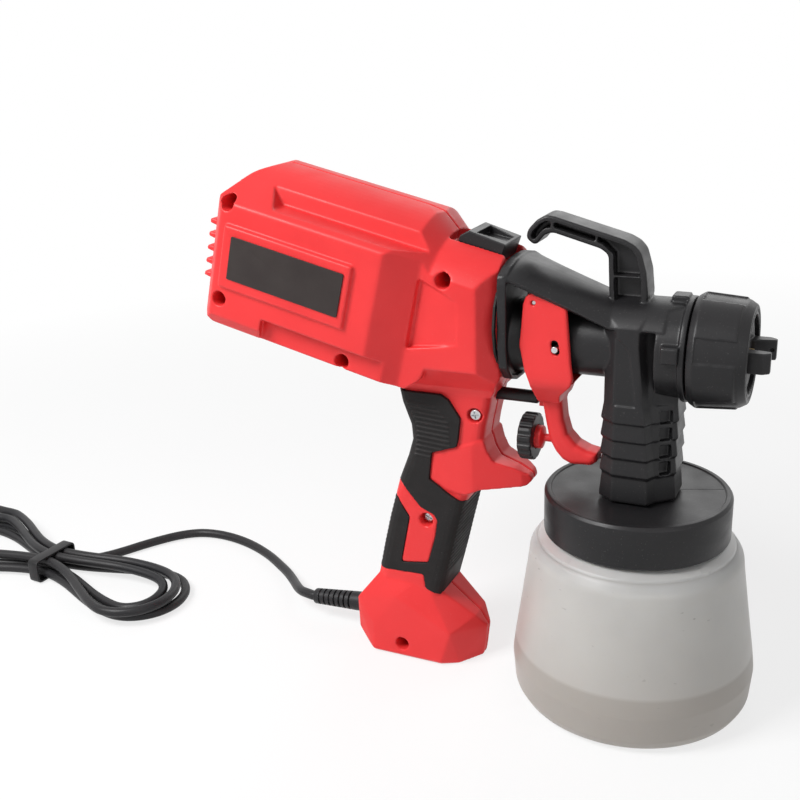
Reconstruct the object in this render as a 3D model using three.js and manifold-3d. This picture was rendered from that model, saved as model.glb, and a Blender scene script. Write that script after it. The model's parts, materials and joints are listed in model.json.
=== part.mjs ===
// A handheld turbine paint sprayer with a screw-on container, in millimetres.
// +X points forward along the nozzle, +Z up. The origin is the centre of the container's base,
// which stands on the same plane, z = 0, as the foot of the handle.

import * as THREE from "three";
import { mergeVertices } from "three/addons/utils/BufferGeometryUtils.js";
import Module from "manifold-3d";

const wasm = await Module();
wasm.setup();

// ---------------------------------------------------------------- driving dimensions

const RUN_GAP = 0.3; // between neighbours that touch or turn on the real object
const SEAM_GAP = 0.3; // between the two housing halves
const WALL = 2.6; // moulded shells
const SIDES = 28; // facets of a large turned piece
const INNER_SIDES = 16; // of one that is hidden
const SMALL_SIDES = 10; // of a small one
const CONTAINER_SIDES = 32;

// Container and lid, turned about the Z axis
const CONTAINER_BASE_R = 53;
const CONTAINER_MAX_R = 61.4;
const CONTAINER_MAX_Z = 21;
const CONTAINER_SHOULDER_R = 53;
const CONTAINER_SHOULDER_Z = 82;
const CONTAINER_NECK_R = 41.6;
const CONTAINER_NECK_TOP_Z = 109.5;
const CONTAINER_WALL = 1.8;
const LID_R = 46;
const LID_BOTTOM_Z = 92.4;
const LID_TOP_Z = 114;
const LID_CHAMFER = 1.2;
const LID_WALL = 2.8;
const GASKET_THICKNESS = 1.4;
const SUCTION_TUBE_R = 4.2;
const SUCTION_TUBE_BORE_R = 2.8;
const SUCTION_TUBE_FOOT_Z = 7;

// Spray head, on the nozzle's axis
const NOZZLE_Z = 188.3;
const AIR_TUBE_R = 17;
const AIR_TUBE_WALL = 3;
const POST_REAR_X = -14.8;
const POST_FRONT_X = 19;
const POST_HALF_WIDTH = 20;
const POST_CHAMFER = 11;
const POST_WALL = 3;
const BARREL_R = 23;
const BARREL_FRONT_X = 13;
const FLANGE_R = 25;
const FLANGE_FRONT_X = 23.4;
const THREAD_R = 20;
const THREAD_FRONT_X = 38;
const FLUID_BORE_R = 4.4;

// Coupling between the spray head and the motor unit
const COUPLING_Z = 197.2;
const COUPLING_FACE_X = -66;
const COUPLING_RING_R = 30;
const COUPLING_RING_FRONT_X = -59;
const COUPLING_SEAL_THICKNESS = 1;
const SPIGOT_R = 26;
const SPIGOT_LENGTH = 12;
const SPIGOT_WALL = 2.6;

// Roof that joins the coupling ring to the barrel
const ROOF_HALF_WIDTH = 18;
const ROOF_THICKNESS = 3;

// Hanging hook
const HOOK_HALF_WIDTH = 8;
const HOOK_WEB_HALF = 1.6;
const HOOK_RIM = 1.8;

// Nozzle nut, air cap, fluid tip
const NUT_REAR_X = 24.2;
const NUT_FRONT_X = 50;
const NUT_R = 27.2;
const NUT_FRONT_R = 25.8;
const NUT_CHAMFER = 3.4;
const NUT_BORE_R = THREAD_R + RUN_GAP;
const NUT_MOUTH_R = 18.4;
const NUT_LIP = 3;
const CAP_R = 17.8;
const CAP_FLANGE_R = 19.6;
const CAP_REAR_X = 39;
const CAP_FACE_X = 48;
const CAP_HOLE_R = 3.2;
const HORN_TIP_X = 59;
const HORN_HALF_HEIGHT = 4.9;
const HORN_INNER_Y = 7.4;
const HORN_OUTER_Y = 14.6;
const TIP_R = 2.6;
const TIP_SEAT_R = 6.4;
const TIP_FRONT_X = 50.4;
const TIP_BORE_R = 1.4;

// Trigger, its pivot and the needle
const PIVOT_X = -48.1;
const PIVOT_Z = 210;
const PIN_R = 1.6;
const PIN_CLEARANCE = 0.35;
const CHEEK_INNER_Y = 18.5;
const CHEEK_OUTER_Y = 21;
const BLADE_HALF_WIDTH = 11;
const LINK_X = -37.2;
const LINK_PIN_HALF = 22;
const NEEDLE_R = 1.1;
const NEEDLE_FRONT_X = 50.8;
const NEEDLE_REAR_X = -54;
const NEEDLE_COLLAR_R = 5.4;
const NEEDLE_TRAVEL = 2.7;
const PACKING_R = 4;
const SPRING_R = 5;
const SPRING_WIRE_R = 0.6;
const KNOB_Z = 134.6;
const KNOB_R = 12.3;
const KNOB_REAR_X = -59.5;
const KNOB_FRONT_X = -52.2;
const KNOB_FLUTES = 16;
const KNOB_FLUTE_R = 1.5;
const KNOB_HUB_R = 6;
const KNOB_SCREW_R = 2;

// Motor unit: its own frame runs along the motor axis, tilted nose down
const TILT_DEG = 13.9;
const AXIS_V = 173.5; // height of the motor axis in the tilted frame
const MOTOR_REAR_U = -263;
const MOTOR_SIDE_Y = 43;
const MOTOR_TOP_R = 44;
const REAR_BLOCK_FRONT_U = -231;
const MOTOR_SHOULDER_U = -168;
const NECK_START_U = -152;
const NECK_R = 36.6;
const NECK_SIDE_Y = 31;
const NECK_FRONT_CHAMFER = 7.5;
const RECESS_FLOOR_V = 202;
const RECESS_WALL_Y = 23.5;
const LOW_RECESS_V = 145.5;
const LOW_RECESS_Y = 36.5;
const FAN_CHAMBER_R = 39;
const MOTOR_CHAMBER_R = 32.5;
const NECK_DUCT_R = 24;
const VENT_COUNT = 5;
const VENT_PITCH = 7.2;
const VENT_SLOT = 3.4;
const VENT_HALF_LENGTH = 22;
const LABEL_PANEL_RISE = 1.6;
const LABEL_THICKNESS = 0.4;

// Handle and foot
const HANDLE_HALF_WIDTH = 15.6;
const GRIP_HALF_WIDTH = 17.6;
const GRIP_SIDE_RISE = 1.7;
const FOOT_HALF_WIDTH = 23;
const FOOT_BEVEL = 5;
const GUARD_HALF_WIDTH = 16.4;
const GUARD_TIP_HALF_WIDTH = 6;

// Housing screws
const SCREW_HEAD_R = 3;
const SCREW_SHANK_R = 1.4;
const SCREW_HEAD_HEIGHT = 2.2;
const WELL_R = 3.9;
const BOSS_WALL = 1.2;
const SCREW_PILOT_DEPTH = 8;
const SCREW_HEAD_Y = -7;

// Motor and fans
const SHAFT_R = 3;
const STATOR_R = 30;
const STATOR_BORE_R = 18.2;
const STATOR_REAR_U = -212;
const STATOR_FRONT_U = -178;
const ARMATURE_R = 17.6;
const COMMUTATOR_R = 10.5;
const BEARING_R = 9.5;
const BEARING_WIDTH = 6;
const BEARING_REAR_U = -226;
const BEARING_FRONT_U = -156;
const FAN_R = 36;
const FAN_HUB_R = 7;
const FAN_THICKNESS = 4;

// Switch and plunger
const PLUNGER_Z = 155.9;
const PLUNGER_R = 3.3;
const PLUNGER_TIP_X = -51.4;
const PLUNGER_ROD_R = 2;
const PLUNGER_SHOULDER_X = -75.5;
const PLUNGER_REAR_X = -95;
const PLUNGER_TRAVEL = 6.6;

// Latch slider on the neck
const LATCH_HALF_WIDTH = 12;

// Mains cord
const CORD_R = 2.9;
const CORD_LOOP_STEPS = 24;
const CORD_SIDES = 6;
const CORD_ROUTE_STEPS = 24; // along the free stretch
const CORD_ROUTE_SIDES = 8;

const red = new THREE.MeshStandardMaterial({ color: 0xe8363b, roughness: 0.42, metalness: 0 });
const black = new THREE.MeshStandardMaterial({ color: 0x26262a, roughness: 0.5, metalness: 0 });
const rubber = new THREE.MeshStandardMaterial({ color: 0x1f1d1e, roughness: 0.8, metalness: 0 });
const milky = new THREE.MeshStandardMaterial({ color: 0xd9d8d2, roughness: 0.4, metalness: 0 });
const steel = new THREE.MeshStandardMaterial({ color: 0xbfc1c4, roughness: 0.3, metalness: 1 });
const brass = new THREE.MeshStandardMaterial({ color: 0xb99552, roughness: 0.35, metalness: 1 });
const copper = new THREE.MeshStandardMaterial({ color: 0xa8623a, roughness: 0.4, metalness: 1 });
const dark = new THREE.MeshStandardMaterial({ color: 0x3a302e, roughness: 0.6, metalness: 0 });

// ---------------------------------------------------------------- frames

const tilt = THREE.MathUtils.degToRad(TILT_DEG);
const TILT_MATRIX = new THREE.Matrix4().makeRotationY(tilt);
const IDENTITY = new THREE.Matrix4();

// A point of the tilted motor frame in the part's own X and Z.
function fromMotor(u, v) {
  return [u * Math.cos(tilt) + v * Math.sin(tilt), -u * Math.sin(tilt) + v * Math.cos(tilt)];
}

// ---------------------------------------------------------------- solids

function toSolid(geometry, matrix = IDENTITY) {
  const bare = geometry.clone().applyMatrix4(matrix);
  bare.deleteAttribute("normal");
  bare.deleteAttribute("uv");
  const merged = mergeVertices(bare, 1e-4);
  return new wasm.Manifold(
    new wasm.Mesh({
      numProp: 3,
      vertProperties: new Float32Array(merged.attributes.position.array),
      triVerts: new Uint32Array(merged.index.array),
    }),
  );
}

function toGeometry(solid) {
  const mesh = solid.getMesh();
  const position = new THREE.BufferAttribute(new Float32Array(mesh.vertProperties), 3);
  const geometry = new THREE.BufferGeometry();
  geometry.setAttribute("position", position);
  geometry.setIndex(new THREE.BufferAttribute(new Uint32Array(mesh.triVerts), 1));
  return geometry;
}

const union = (...solids) => solids.reduce((a, b) => a.add(b));
const cutAll = (solid, cutters) => cutters.reduce((a, b) => a.subtract(b), solid);

function shapeOf(points) {
  return new THREE.Shape(points.map(([x, y]) => new THREE.Vector2(x, y)));
}

// An outline in X and Z, drawn out along Y from low to high, its long edges rounded by bevel.
function plateBetween(points, low, high, bevel = 0, inset = 0, matrix = IDENTITY) {
  const depth = high - low - 2 * (bevel + inset);
  const geometry = new THREE.ExtrudeGeometry(shapeOf(points), {
    depth,
    steps: 1,
    curveSegments: 8,
    bevelEnabled: bevel > 0 || inset > 0,
    bevelThickness: Math.max(bevel, 0.001),
    bevelSize: bevel,
    bevelOffset: -bevel - inset,
    bevelSegments: bevel > 2 ? 3 : 1,
  });
  // The shape's own x, y and depth become the part's X, Z and -Y.
  const place = new THREE.Matrix4().makeRotationX(Math.PI / 2);
  place.setPosition(0, high - inset - bevel, 0);
  return toSolid(geometry, matrix.clone().multiply(place));
}

function plate(points, halfWidth, bevel = 0, inset = 0, matrix = IDENTITY) {
  return plateBetween(points, -halfWidth, halfWidth, bevel, inset, matrix);
}

// An outline in Y and Z, drawn out along X.
function barAlongX(points, x0, x1, matrix = IDENTITY) {
  const geometry = new THREE.ExtrudeGeometry(shapeOf(points), { depth: x1 - x0, bevelEnabled: false });
  const place = new THREE.Matrix4().makeBasis(
    new THREE.Vector3(0, 1, 0),
    new THREE.Vector3(0, 0, 1),
    new THREE.Vector3(1, 0, 0),
  );
  place.setPosition(x0, 0, 0);
  return toSolid(geometry, matrix.clone().multiply(place));
}

// An outline in X and Y, drawn out along Z.
function columnAlongZ(points, z0, z1, matrix = IDENTITY) {
  const geometry = new THREE.ExtrudeGeometry(shapeOf(points), { depth: z1 - z0, bevelEnabled: false });
  const place = new THREE.Matrix4().makeTranslation(0, 0, z0);
  return toSolid(geometry, matrix.clone().multiply(place));
}

// A turned piece about the Z axis. Profile points are [radius, z], closed or starting and ending on the axis.
function turnedZ(profile, sides = SIDES, x = 0, y = 0) {
  const points = profile.map(([r, z]) => new THREE.Vector2(r, z));
  const place = new THREE.Matrix4().makeRotationX(Math.PI / 2).setPosition(x, y, 0);
  return outward(toSolid(new THREE.LatheGeometry(points, sides), place));
}

// A turned piece about an axis along X at height z. Profile points are [radius, x].
function turnedX(profile, z, sides = SIDES, matrix = IDENTITY, y = 0) {
  const points = profile.map(([r, x]) => new THREE.Vector2(r, x));
  const place = new THREE.Matrix4().makeRotationZ(-Math.PI / 2).setPosition(0, y, z);
  return outward(toSolid(new THREE.LatheGeometry(points, sides), matrix.clone().multiply(place)));
}

// A turned piece about an axis along Y through x and z. Profile points are [radius, y].
function turnedY(profile, x, z, sides = SMALL_SIDES) {
  const points = profile.map(([r, y]) => new THREE.Vector2(r, y));
  const place = new THREE.Matrix4().makeTranslation(x, 0, z);
  return outward(toSolid(new THREE.LatheGeometry(points, sides), place));
}

// A lathe profile may run either way: the solid always comes back with its faces outward.
function outward(solid) {
  if (solid.volume() > 0) return solid;
  const mesh = solid.getMesh();
  const flipped = new Uint32Array(mesh.triVerts);
  for (let i = 0; i < flipped.length; i += 3) {
    [flipped[i + 1], flipped[i + 2]] = [flipped[i + 2], flipped[i + 1]];
  }
  return new wasm.Manifold(
    new wasm.Mesh({ numProp: 3, vertProperties: mesh.vertProperties, triVerts: flipped }),
  );
}

const rod = (r, a, b) => [[0, a], [r, a], [r, b], [0, b]];
const ring = (r, R, a, b) => [[r, a], [R, a], [R, b], [r, b], [r, a]];

function box(x0, x1, y0, y1, z0, z1, matrix = IDENTITY) {
  const geometry = new THREE.BoxGeometry(x1 - x0, y1 - y0, z1 - z0);
  const place = new THREE.Matrix4().makeTranslation((x0 + x1) / 2, (y0 + y1) / 2, (z0 + z1) / 2);
  return toSolid(geometry, matrix.clone().multiply(place));
}

function arc(cx, cy, r, fromDeg, toDeg, steps) {
  const points = [];
  for (let i = 0; i <= steps; i++) {
    const a = THREE.MathUtils.degToRad(fromDeg + ((toDeg - fromDeg) * i) / steps);
    points.push([cx + r * Math.cos(a), cy + r * Math.sin(a)]);
  }
  return points;
}

// The right half of an outline, with its mirror image. A point on the centre line isn't repeated.
const mirrored = (points) => [
  ...points,
  ...points
    .filter(([a]) => Math.abs(a) > 1e-6)
    .map(([a, b]) => [-a, b])
    .reverse(),
];

// A surface through closed sections of the same number of [x, y, z] points, with flat ends.
function loft(sections) {
  const count = sections[0].length;
  const positions = sections.flat(2);
  const triangles = [];
  for (let s = 0; s < sections.length - 1; s++) {
    for (let i = 0; i < count; i++) {
      const a = s * count + i;
      const b = s * count + ((i + 1) % count);
      triangles.push(a, b, b + count, a, b + count, a + count);
    }
  }
  const last = (sections.length - 1) * count;
  const flat = sections[0].map(([, y, z]) => new THREE.Vector2(y, z));
  for (const [i, j, k] of THREE.ShapeUtils.triangulateShape(flat, [])) {
    triangles.push(i, k, j, last + i, last + j, last + k);
  }
  const geometry = new THREE.BufferGeometry();
  geometry.setAttribute("position", new THREE.Float32BufferAttribute(positions, 3));
  geometry.setIndex(triangles);
  return outward(toSolid(geometry));
}

// ---------------------------------------------------------------- tubes

// A round tube of one radius along points, its ends flat.
function tubeAlong(points, r, sides, steps) {
  const curve = new THREE.CatmullRomCurve3(points.map((p) => new THREE.Vector3(...p)), false, "centripetal");
  const section = [];
  for (let i = 0; i < sides; i++) {
    const a = (2 * Math.PI * i) / sides;
    section.push([r * Math.cos(a), r * Math.sin(a)]);
  }
  return toSolid(new THREE.ExtrudeGeometry(shapeOf(section), { steps, extrudePath: curve }));
}

function helixPoints(x0, x1, z, r, turns, stepsPerTurn) {
  const points = [];
  const count = turns * stepsPerTurn;
  for (let i = 0; i <= count; i++) {
    const a = (2 * Math.PI * i) / stepsPerTurn;
    points.push([x0 + ((x1 - x0) * i) / count, r * Math.cos(a), z + r * Math.sin(a)]);
  }
  return points;
}

const CURL_STEPS = 8;
const CURL_SIDES = 5;

function coilSpring(x0, x1, z, r, wireR, turns) {
  const inner = helixPoints(x0 + wireR, x1 - wireR, z, r, turns, CURL_STEPS);
  return tubeAlong(inner, wireR, CURL_SIDES, turns * CURL_STEPS);
}

// ---------------------------------------------------------------- scene graph

const sprayer = new THREE.Group();
sprayer.name = "paint_sprayer";

function add(name, solid, material) {
  const mesh = new THREE.Mesh(toGeometry(solid), material);
  mesh.name = name;
  sprayer.add(mesh);
}

// ---------------------------------------------------------------- motor housing

const MOTOR_SIDE_OUTLINE = [
  [MOTOR_REAR_U, 139],
  [MOTOR_REAR_U + 6, 131.5],
  [MOTOR_REAR_U + 14, 129.5],
  [-150, 129.5],
  [-140, 140],
  [-140, 206],
  [-147, 211],
  [-155, 216.4],
  [-166, 217.5],
  [-247, 217.5],
  [-256, 212.5],
  [MOTOR_REAR_U, 200],
];

const MOTOR_PLAN = mirroredAboutAxis([
  [MOTOR_REAR_U, 38],
  [MOTOR_REAR_U + 5, MOTOR_SIDE_Y],
  [MOTOR_SHOULDER_U, MOTOR_SIDE_Y],
  [NECK_START_U, NECK_SIDE_Y],
  [-130, NECK_SIDE_Y],
]);

const MOTOR_SECTION = mirrored([
  ...arc(0, AXIS_V, MOTOR_TOP_R, 90, 57, 5),
  [MOTOR_SIDE_Y, 200],
  [MOTOR_SIDE_Y, 140],
  [38, 133.5],
  [22, 129.5],
]);

// The rear half narrows to the neck through a cone that is turned about the motor axis.
const NOSE_CONE = [
  [0, MOTOR_REAR_U - 2],
  [70, MOTOR_REAR_U - 2],
  [70, MOTOR_SHOULDER_U - 26],
  [NECK_R, NECK_START_U + 4],
  [NECK_R, -120],
  [0, -120],
];

function mirroredAboutAxis(points) {
  return [...points, ...points.map(([x, y]) => [x, -y]).reverse()];
}

function motorBlock() {
  const side = plate(MOTOR_SIDE_OUTLINE, MOTOR_SIDE_Y + 1, 0, 0, TILT_MATRIX);
  const plan = columnAlongZ(MOTOR_PLAN, 120, 225, TILT_MATRIX);
  const section = barAlongX(MOTOR_SECTION, MOTOR_REAR_U - 1, -129, TILT_MATRIX);
  const nose = turnedX(NOSE_CONE, AXIS_V, SIDES, TILT_MATRIX);
  const belly = box(-300, -120, -MOTOR_SIDE_Y, MOTOR_SIDE_Y, 100, AXIS_V, TILT_MATRIX);
  const block = side.intersect(plan).intersect(section).intersect(nose.add(belly));
  const recesses = [];
  for (const side of [-1, 1]) {
    const edge = side * (MOTOR_SIDE_Y + 3);
    const upper = [
      [REAR_BLOCK_FRONT_U + 2, edge],
      [REAR_BLOCK_FRONT_U - 3, side * RECESS_WALL_Y],
      [-120, side * RECESS_WALL_Y],
      [-120, edge],
    ];
    const lower = [
      [REAR_BLOCK_FRONT_U + 4, edge],
      [REAR_BLOCK_FRONT_U + 1, side * LOW_RECESS_Y],
      [-120, side * LOW_RECESS_Y],
      [-120, edge],
    ];
    recesses.push(columnAlongZ(side > 0 ? upper.reverse() : upper, RECESS_FLOOR_V, 225, TILT_MATRIX));
    recesses.push(columnAlongZ(side > 0 ? lower.reverse() : lower, 120, LOW_RECESS_V, TILT_MATRIX));
  }
  return cutAll(block, recesses);
}

// Side outline of the neck, in the part's X and Z. Its top slopes on from the motor block's.
const NECK_TOP_FRONT = [COUPLING_FACE_X, 230.6];
const NECK_TOP_REAR = [-94, 240.4];
const NECK_OUTLINE = [
  [-124, 158],
  [-71.5, 158],
  [COUPLING_FACE_X, 171],
  NECK_TOP_FRONT,
  NECK_TOP_REAR,
  [-124, 246],
];

const NECK_SECTION = mirrored([
  [0, 260],
  [NECK_SIDE_Y, 260],
  [NECK_SIDE_Y, 175.5],
  [HANDLE_HALF_WIDTH + 1, 162],
  [HANDLE_HALF_WIDTH, 158],
  [HANDLE_HALF_WIDTH, 40],
  [0, 40],
]);

const NECK_TUNNEL = mirrored([...arc(0, AXIS_V, NECK_R, 90, 15, 9), [NECK_R - 1, 40], [0, 40]]);

const NECK_PLAN = mirroredAboutAxis([
  [-210, NECK_SIDE_Y],
  [COUPLING_FACE_X - NECK_FRONT_CHAMFER, NECK_SIDE_Y],
  [COUPLING_FACE_X, NECK_SIDE_Y - NECK_FRONT_CHAMFER],
]);

// Rear and front of the grip where the hand meets it, from the neck down to the foot.
const GRIP_REAR = [
  [-124.5, 165],
  [-121.5, 150],
  [-117, 138],
  [-116.4, 130],
  [-119.2, 120.6],
  [-125.2, 105.5],
  [-131.6, 82.7],
  [-135.4, 67.1],
  [-141, 42],
];
const GRIP_FRONT = [
  [-101, 42],
  [-95.9, 60.9],
  [-92.2, 76.2],
  [-88.5, 91.1],
  [-86.7, 98.5],
  [-78, 127.3],
  [-75.8, 141],
  [-73.6, 151.1],
  [-71, 165],
];
const GRIP_BARE_ABOVE_Z = 98.5; // the front of the handle is bare above this height

const HANDLE_OUTLINE = [
  ...GRIP_REAR.map(([x, z]) => [x + GRIP_SIDE_RISE, z]),
  ...GRIP_FRONT.map(([x, z]) => (z < GRIP_BARE_ABOVE_Z ? [x - GRIP_SIDE_RISE, z] : [x, z])),
];

// Where rubber covers the handle's side.
const RUBBER_REGION = [
  [-160, 157.5],
  [-160, 40],
  [-60, 40],
  [-60, 98.2],
  [-88.6, 98.5],
  [-97, 103.5],
  [-104.3, 109.2],
  [-101, 125.1],
  [-90.9, 127],
  [-89.1, 133.9],
  [-87.7, 145.6],
  [-94.1, 155.1],
  [-98.4, 157.5],
];

// The red inset in the rubber, on both sides of the handle.
const INSET_OUTLINE = [
  [-121.5, 99.5],
  [-118.6, 84],
  [-124.5, 58.8],
  [-107.6, 60.1],
  [-103.7, 71.7],
  [-102.2, 83.9],
  [-105.6, 89.2],
];
const INSET_RISE = 1.2;

const FOOT_OUTLINE = [
  [-137, 50],
  [-150.5, 32],
  [-151.5, 9],
  [-146.5, 0],
  [-93, 0],
  [-83, 7],
  [-79.4, 19],
  [-84, 31],
  [-95.5, 43],
  [-110, 50],
];

const GUARD_OUTLINE = [
  [-104, 125],
  [-76.5, 134.5],
  [-74.6, 127.5],
  [-71.5, 122.2],
  [-61.5, 118.6],
  [-54.6, 115],
  [-53, 112],
  [-56, 108.2],
  [-70, 104.2],
  [-86, 100],
  [-97, 103.5],
  [-106, 109.5],
];

const GUARD_PLAN = mirroredAboutAxis([
  [-110, GUARD_HALF_WIDTH],
  [-82, GUARD_HALF_WIDTH],
  [-58, GUARD_TIP_HALF_WIDTH + 2],
  [-52, GUARD_TIP_HALF_WIDTH - 2],
]);

function housingOuter() {
  const neck = plate(NECK_OUTLINE, NECK_SIDE_Y + 1)
    .intersect(barAlongX(NECK_TUNNEL, -220, 20, TILT_MATRIX))
    .intersect(barAlongX(NECK_SECTION, -220, 20))
    .intersect(columnAlongZ(NECK_PLAN, 150, 262));
  const handle = plate(HANDLE_OUTLINE, HANDLE_HALF_WIDTH, 4.5);
  const inset = plate(INSET_OUTLINE, GRIP_HALF_WIDTH - 0.2, INSET_RISE, RUN_GAP);
  const foot = plate(FOOT_OUTLINE, FOOT_HALF_WIDTH, FOOT_BEVEL);
  const guard = plate(GUARD_OUTLINE, GUARD_HALF_WIDTH, 1.2).intersect(columnAlongZ(GUARD_PLAN, 90, 140));
  return union(motorBlock(), neck, handle, inset, foot, guard);
}

// Screw places: [x, z, half-width of the housing there]
const SCREW_PLACES = [
  [...fromMotor(-255.6, 199.4), MOTOR_SIDE_Y],
  [...fromMotor(-253.4, 149.2), MOTOR_SIDE_Y],
  [...fromMotor(-182, 136.6), LOW_RECESS_Y],
  [-90, 220, NECK_SIDE_Y],
  [-80.6, 147.6, HANDLE_HALF_WIDTH],
  [-108.4, 85.3, HANDLE_HALF_WIDTH + INSET_RISE],
  [-123.1, 8.6, FOOT_HALF_WIDTH],
];

const FAN_CHAMBER = [MOTOR_REAR_U + WALL, REAR_BLOCK_FRONT_U - 5];
const MOTOR_CHAMBER = [REAR_BLOCK_FRONT_U - 6, -158];
const SOCKET_REAR_X = -80.5;
const THROAT = [[-119, 150], [-98, 150], [-98, 192], [-119, 192]];

function housingCavity() {
  return union(
    turnedX(rod(FAN_CHAMBER_R, ...FAN_CHAMBER), AXIS_V, INNER_SIDES, TILT_MATRIX),
    turnedX(rod(MOTOR_CHAMBER_R, ...MOTOR_CHAMBER), AXIS_V, INNER_SIDES, TILT_MATRIX),
    turnedX(rod(NECK_DUCT_R, -120, SOCKET_REAR_X + 1), 201, INNER_SIDES),
    turnedX(rod(SPIGOT_R + RUN_GAP, SOCKET_REAR_X, COUPLING_FACE_X + 1), COUPLING_Z),
    plate(THROAT, HANDLE_HALF_WIDTH - WALL - 1),
    plate(HANDLE_OUTLINE, HANDLE_HALF_WIDTH, 2, WALL).intersect(box(-200, 0, -30, 30, 0, 140)),
    box(-118, -100, -11, 11, 130, 152),
    plate(FOOT_OUTLINE, FOOT_HALF_WIDTH, 2, WALL),
    box(-132, -110, -9, 9, 30, 60),
  );
}

// Rear vent slots through the rear wall, one above another.
function ventCutters() {
  const cutters = [];
  for (let i = 0; i < VENT_COUNT; i++) {
    const v = AXIS_V + (i - (VENT_COUNT - 1) / 2) * VENT_PITCH;
    const [u0, u1] = [MOTOR_REAR_U - 5, MOTOR_REAR_U + WALL + 1];
    const h = VENT_SLOT / 2;
    cutters.push(box(u0, u1, -VENT_HALF_LENGTH, VENT_HALF_LENGTH, v - h, v + h, TILT_MATRIX));
  }
  return cutters;
}

const SLAT_RISE = 3.6;
const SLAT_OVERHANG = 8;

// Slats that stand out between the vent slots.
function ventSlats() {
  const slats = [];
  for (let i = 0; i <= VENT_COUNT; i++) {
    const v = AXIS_V + (i - VENT_COUNT / 2) * VENT_PITCH;
    const h = (VENT_PITCH - VENT_SLOT) / 2;
    const outline = [
      [MOTOR_REAR_U + 1, v - h],
      [MOTOR_REAR_U + 1, v + h],
      [MOTOR_REAR_U - SLAT_RISE, v + h - 1],
      [MOTOR_REAR_U - SLAT_RISE, v - h + 1],
    ];
    slats.push(plate(outline, VENT_HALF_LENGTH + SLAT_OVERHANG, 0, 0, TILT_MATRIX));
  }
  return slats;
}

const PANEL_OUTLINE = [[-254, 156.5], [-181, 156.5], [-181, 189.5], [-254, 189.5]];
const LABEL_OUTLINE = [[-248.5, 162.4], [-184.5, 162.4], [-184.5, 184.9], [-248.5, 184.9]];
const PANEL_FACE_Y = -MOTOR_SIDE_Y - LABEL_PANEL_RISE;

// The strain relief leaves the foot a little nose up, so that it droops towards its end.
const CORD_EXIT_X = -150;
const CORD_EXIT_Z = 16.6;
const RELIEF_LENGTH = 40;
const RELIEF_DROOP_DEG = 5;
const RELIEF_MATRIX = new THREE.Matrix4()
  .makeTranslation(CORD_EXIT_X, 0, CORD_EXIT_Z)
  .multiply(new THREE.Matrix4().makeRotationY(-THREE.MathUtils.degToRad(RELIEF_DROOP_DEG)));

function housing() {
  const panel = plateBetween(PANEL_OUTLINE, PANEL_FACE_Y, 1 - MOTOR_SIDE_Y, 0, 0, TILT_MATRIX);
  const outer = union(housingOuter(), panel, ...ventSlats());
  const bosses = SCREW_PLACES.map(([x, z, y]) => turnedY(rod(WELL_R + BOSS_WALL, -y + 0.5, y - 0.5), x, z));
  const shell = outer.subtract(housingCavity()).add(outer.intersect(union(...bosses)));
  const cutters = [
    turnedX(rod(PLUNGER_R + RUN_GAP, PLUNGER_BORE_REAR_X, -60), PLUNGER_Z, SMALL_SIDES),
    turnedX(rod(PLUNGER_ROD_R + RUN_GAP, -105, -70), PLUNGER_Z, SMALL_SIDES),
    turnedX(rod(RELIEF_R + RUN_GAP, -12, 3), 0, SMALL_SIDES, RELIEF_MATRIX),
    latchTrack(),
    ...ventCutters(),
  ];
  for (const [x, z] of SCREW_PLACES) {
    cutters.push(turnedY(rod(WELL_R, -60, SCREW_HEAD_Y + RUN_GAP), x, z));
    cutters.push(turnedY(rod(SCREW_SHANK_R + RUN_GAP, -60, SCREW_PILOT_DEPTH), x, z));
  }
  return cutAll(shell, cutters);
}

// Cutting can leave specks: the piece itself is the largest body.
function largest(solid) {
  return solid.decompose().sort((a, b) => b.volume() - a.volume())[0];
}

const FAR = 700;

function makeHousing() {
  const whole = housing();
  add("housing_right", largest(whole.intersect(box(-FAR, FAR, -FAR, -SEAM_GAP / 2, -FAR, FAR))), red);
  add("housing_left", largest(whole.intersect(box(-FAR, FAR, SEAM_GAP / 2, FAR, -FAR, FAR))), red);
  const labelBack = PANEL_FACE_Y - RUN_GAP;
  const label = plateBetween(LABEL_OUTLINE, labelBack - LABEL_THICKNESS, labelBack, 0, 0, TILT_MATRIX);
  add("label_plate", label, dark);
  const grown = -RUN_GAP;
  const rubberSleeve = plate([...GRIP_REAR, ...GRIP_FRONT], GRIP_HALF_WIDTH, 6)
    .intersect(plate(RUBBER_REGION, GRIP_HALF_WIDTH + 1))
    .subtract(plate(HANDLE_OUTLINE, HANDLE_HALF_WIDTH, 4.5, grown))
    .subtract(plate(INSET_OUTLINE, GRIP_HALF_WIDTH + 1))
    .subtract(plate(GUARD_OUTLINE, GRIP_HALF_WIDTH + 1, 0, grown))
    .subtract(plate(FOOT_OUTLINE, FOOT_HALF_WIDTH, FOOT_BEVEL, grown))
    .subtract(turnedY(rod(WELL_R + BOSS_WALL + RUN_GAP, -30, 30), -80.6, 147.6));
  add("grip_rubber", largest(rubberSleeve), rubber);
}

function makeScrews() {
  const headTop = SCREW_HEAD_Y - SCREW_HEAD_HEIGHT;
  const shankEnd = SCREW_PILOT_DEPTH - RUN_GAP;
  const profile = [
    [0, headTop],
    [SCREW_HEAD_R, headTop],
    [SCREW_HEAD_R, SCREW_HEAD_Y],
    [SCREW_SHANK_R, SCREW_HEAD_Y],
    [SCREW_SHANK_R, shankEnd],
    [0, shankEnd],
  ];
  SCREW_PLACES.forEach(([x, z], i) => add("housing_screw_" + (i + 1), turnedY(profile, x, z), steel));
}

// ---------------------------------------------------------------- latch slider

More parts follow.
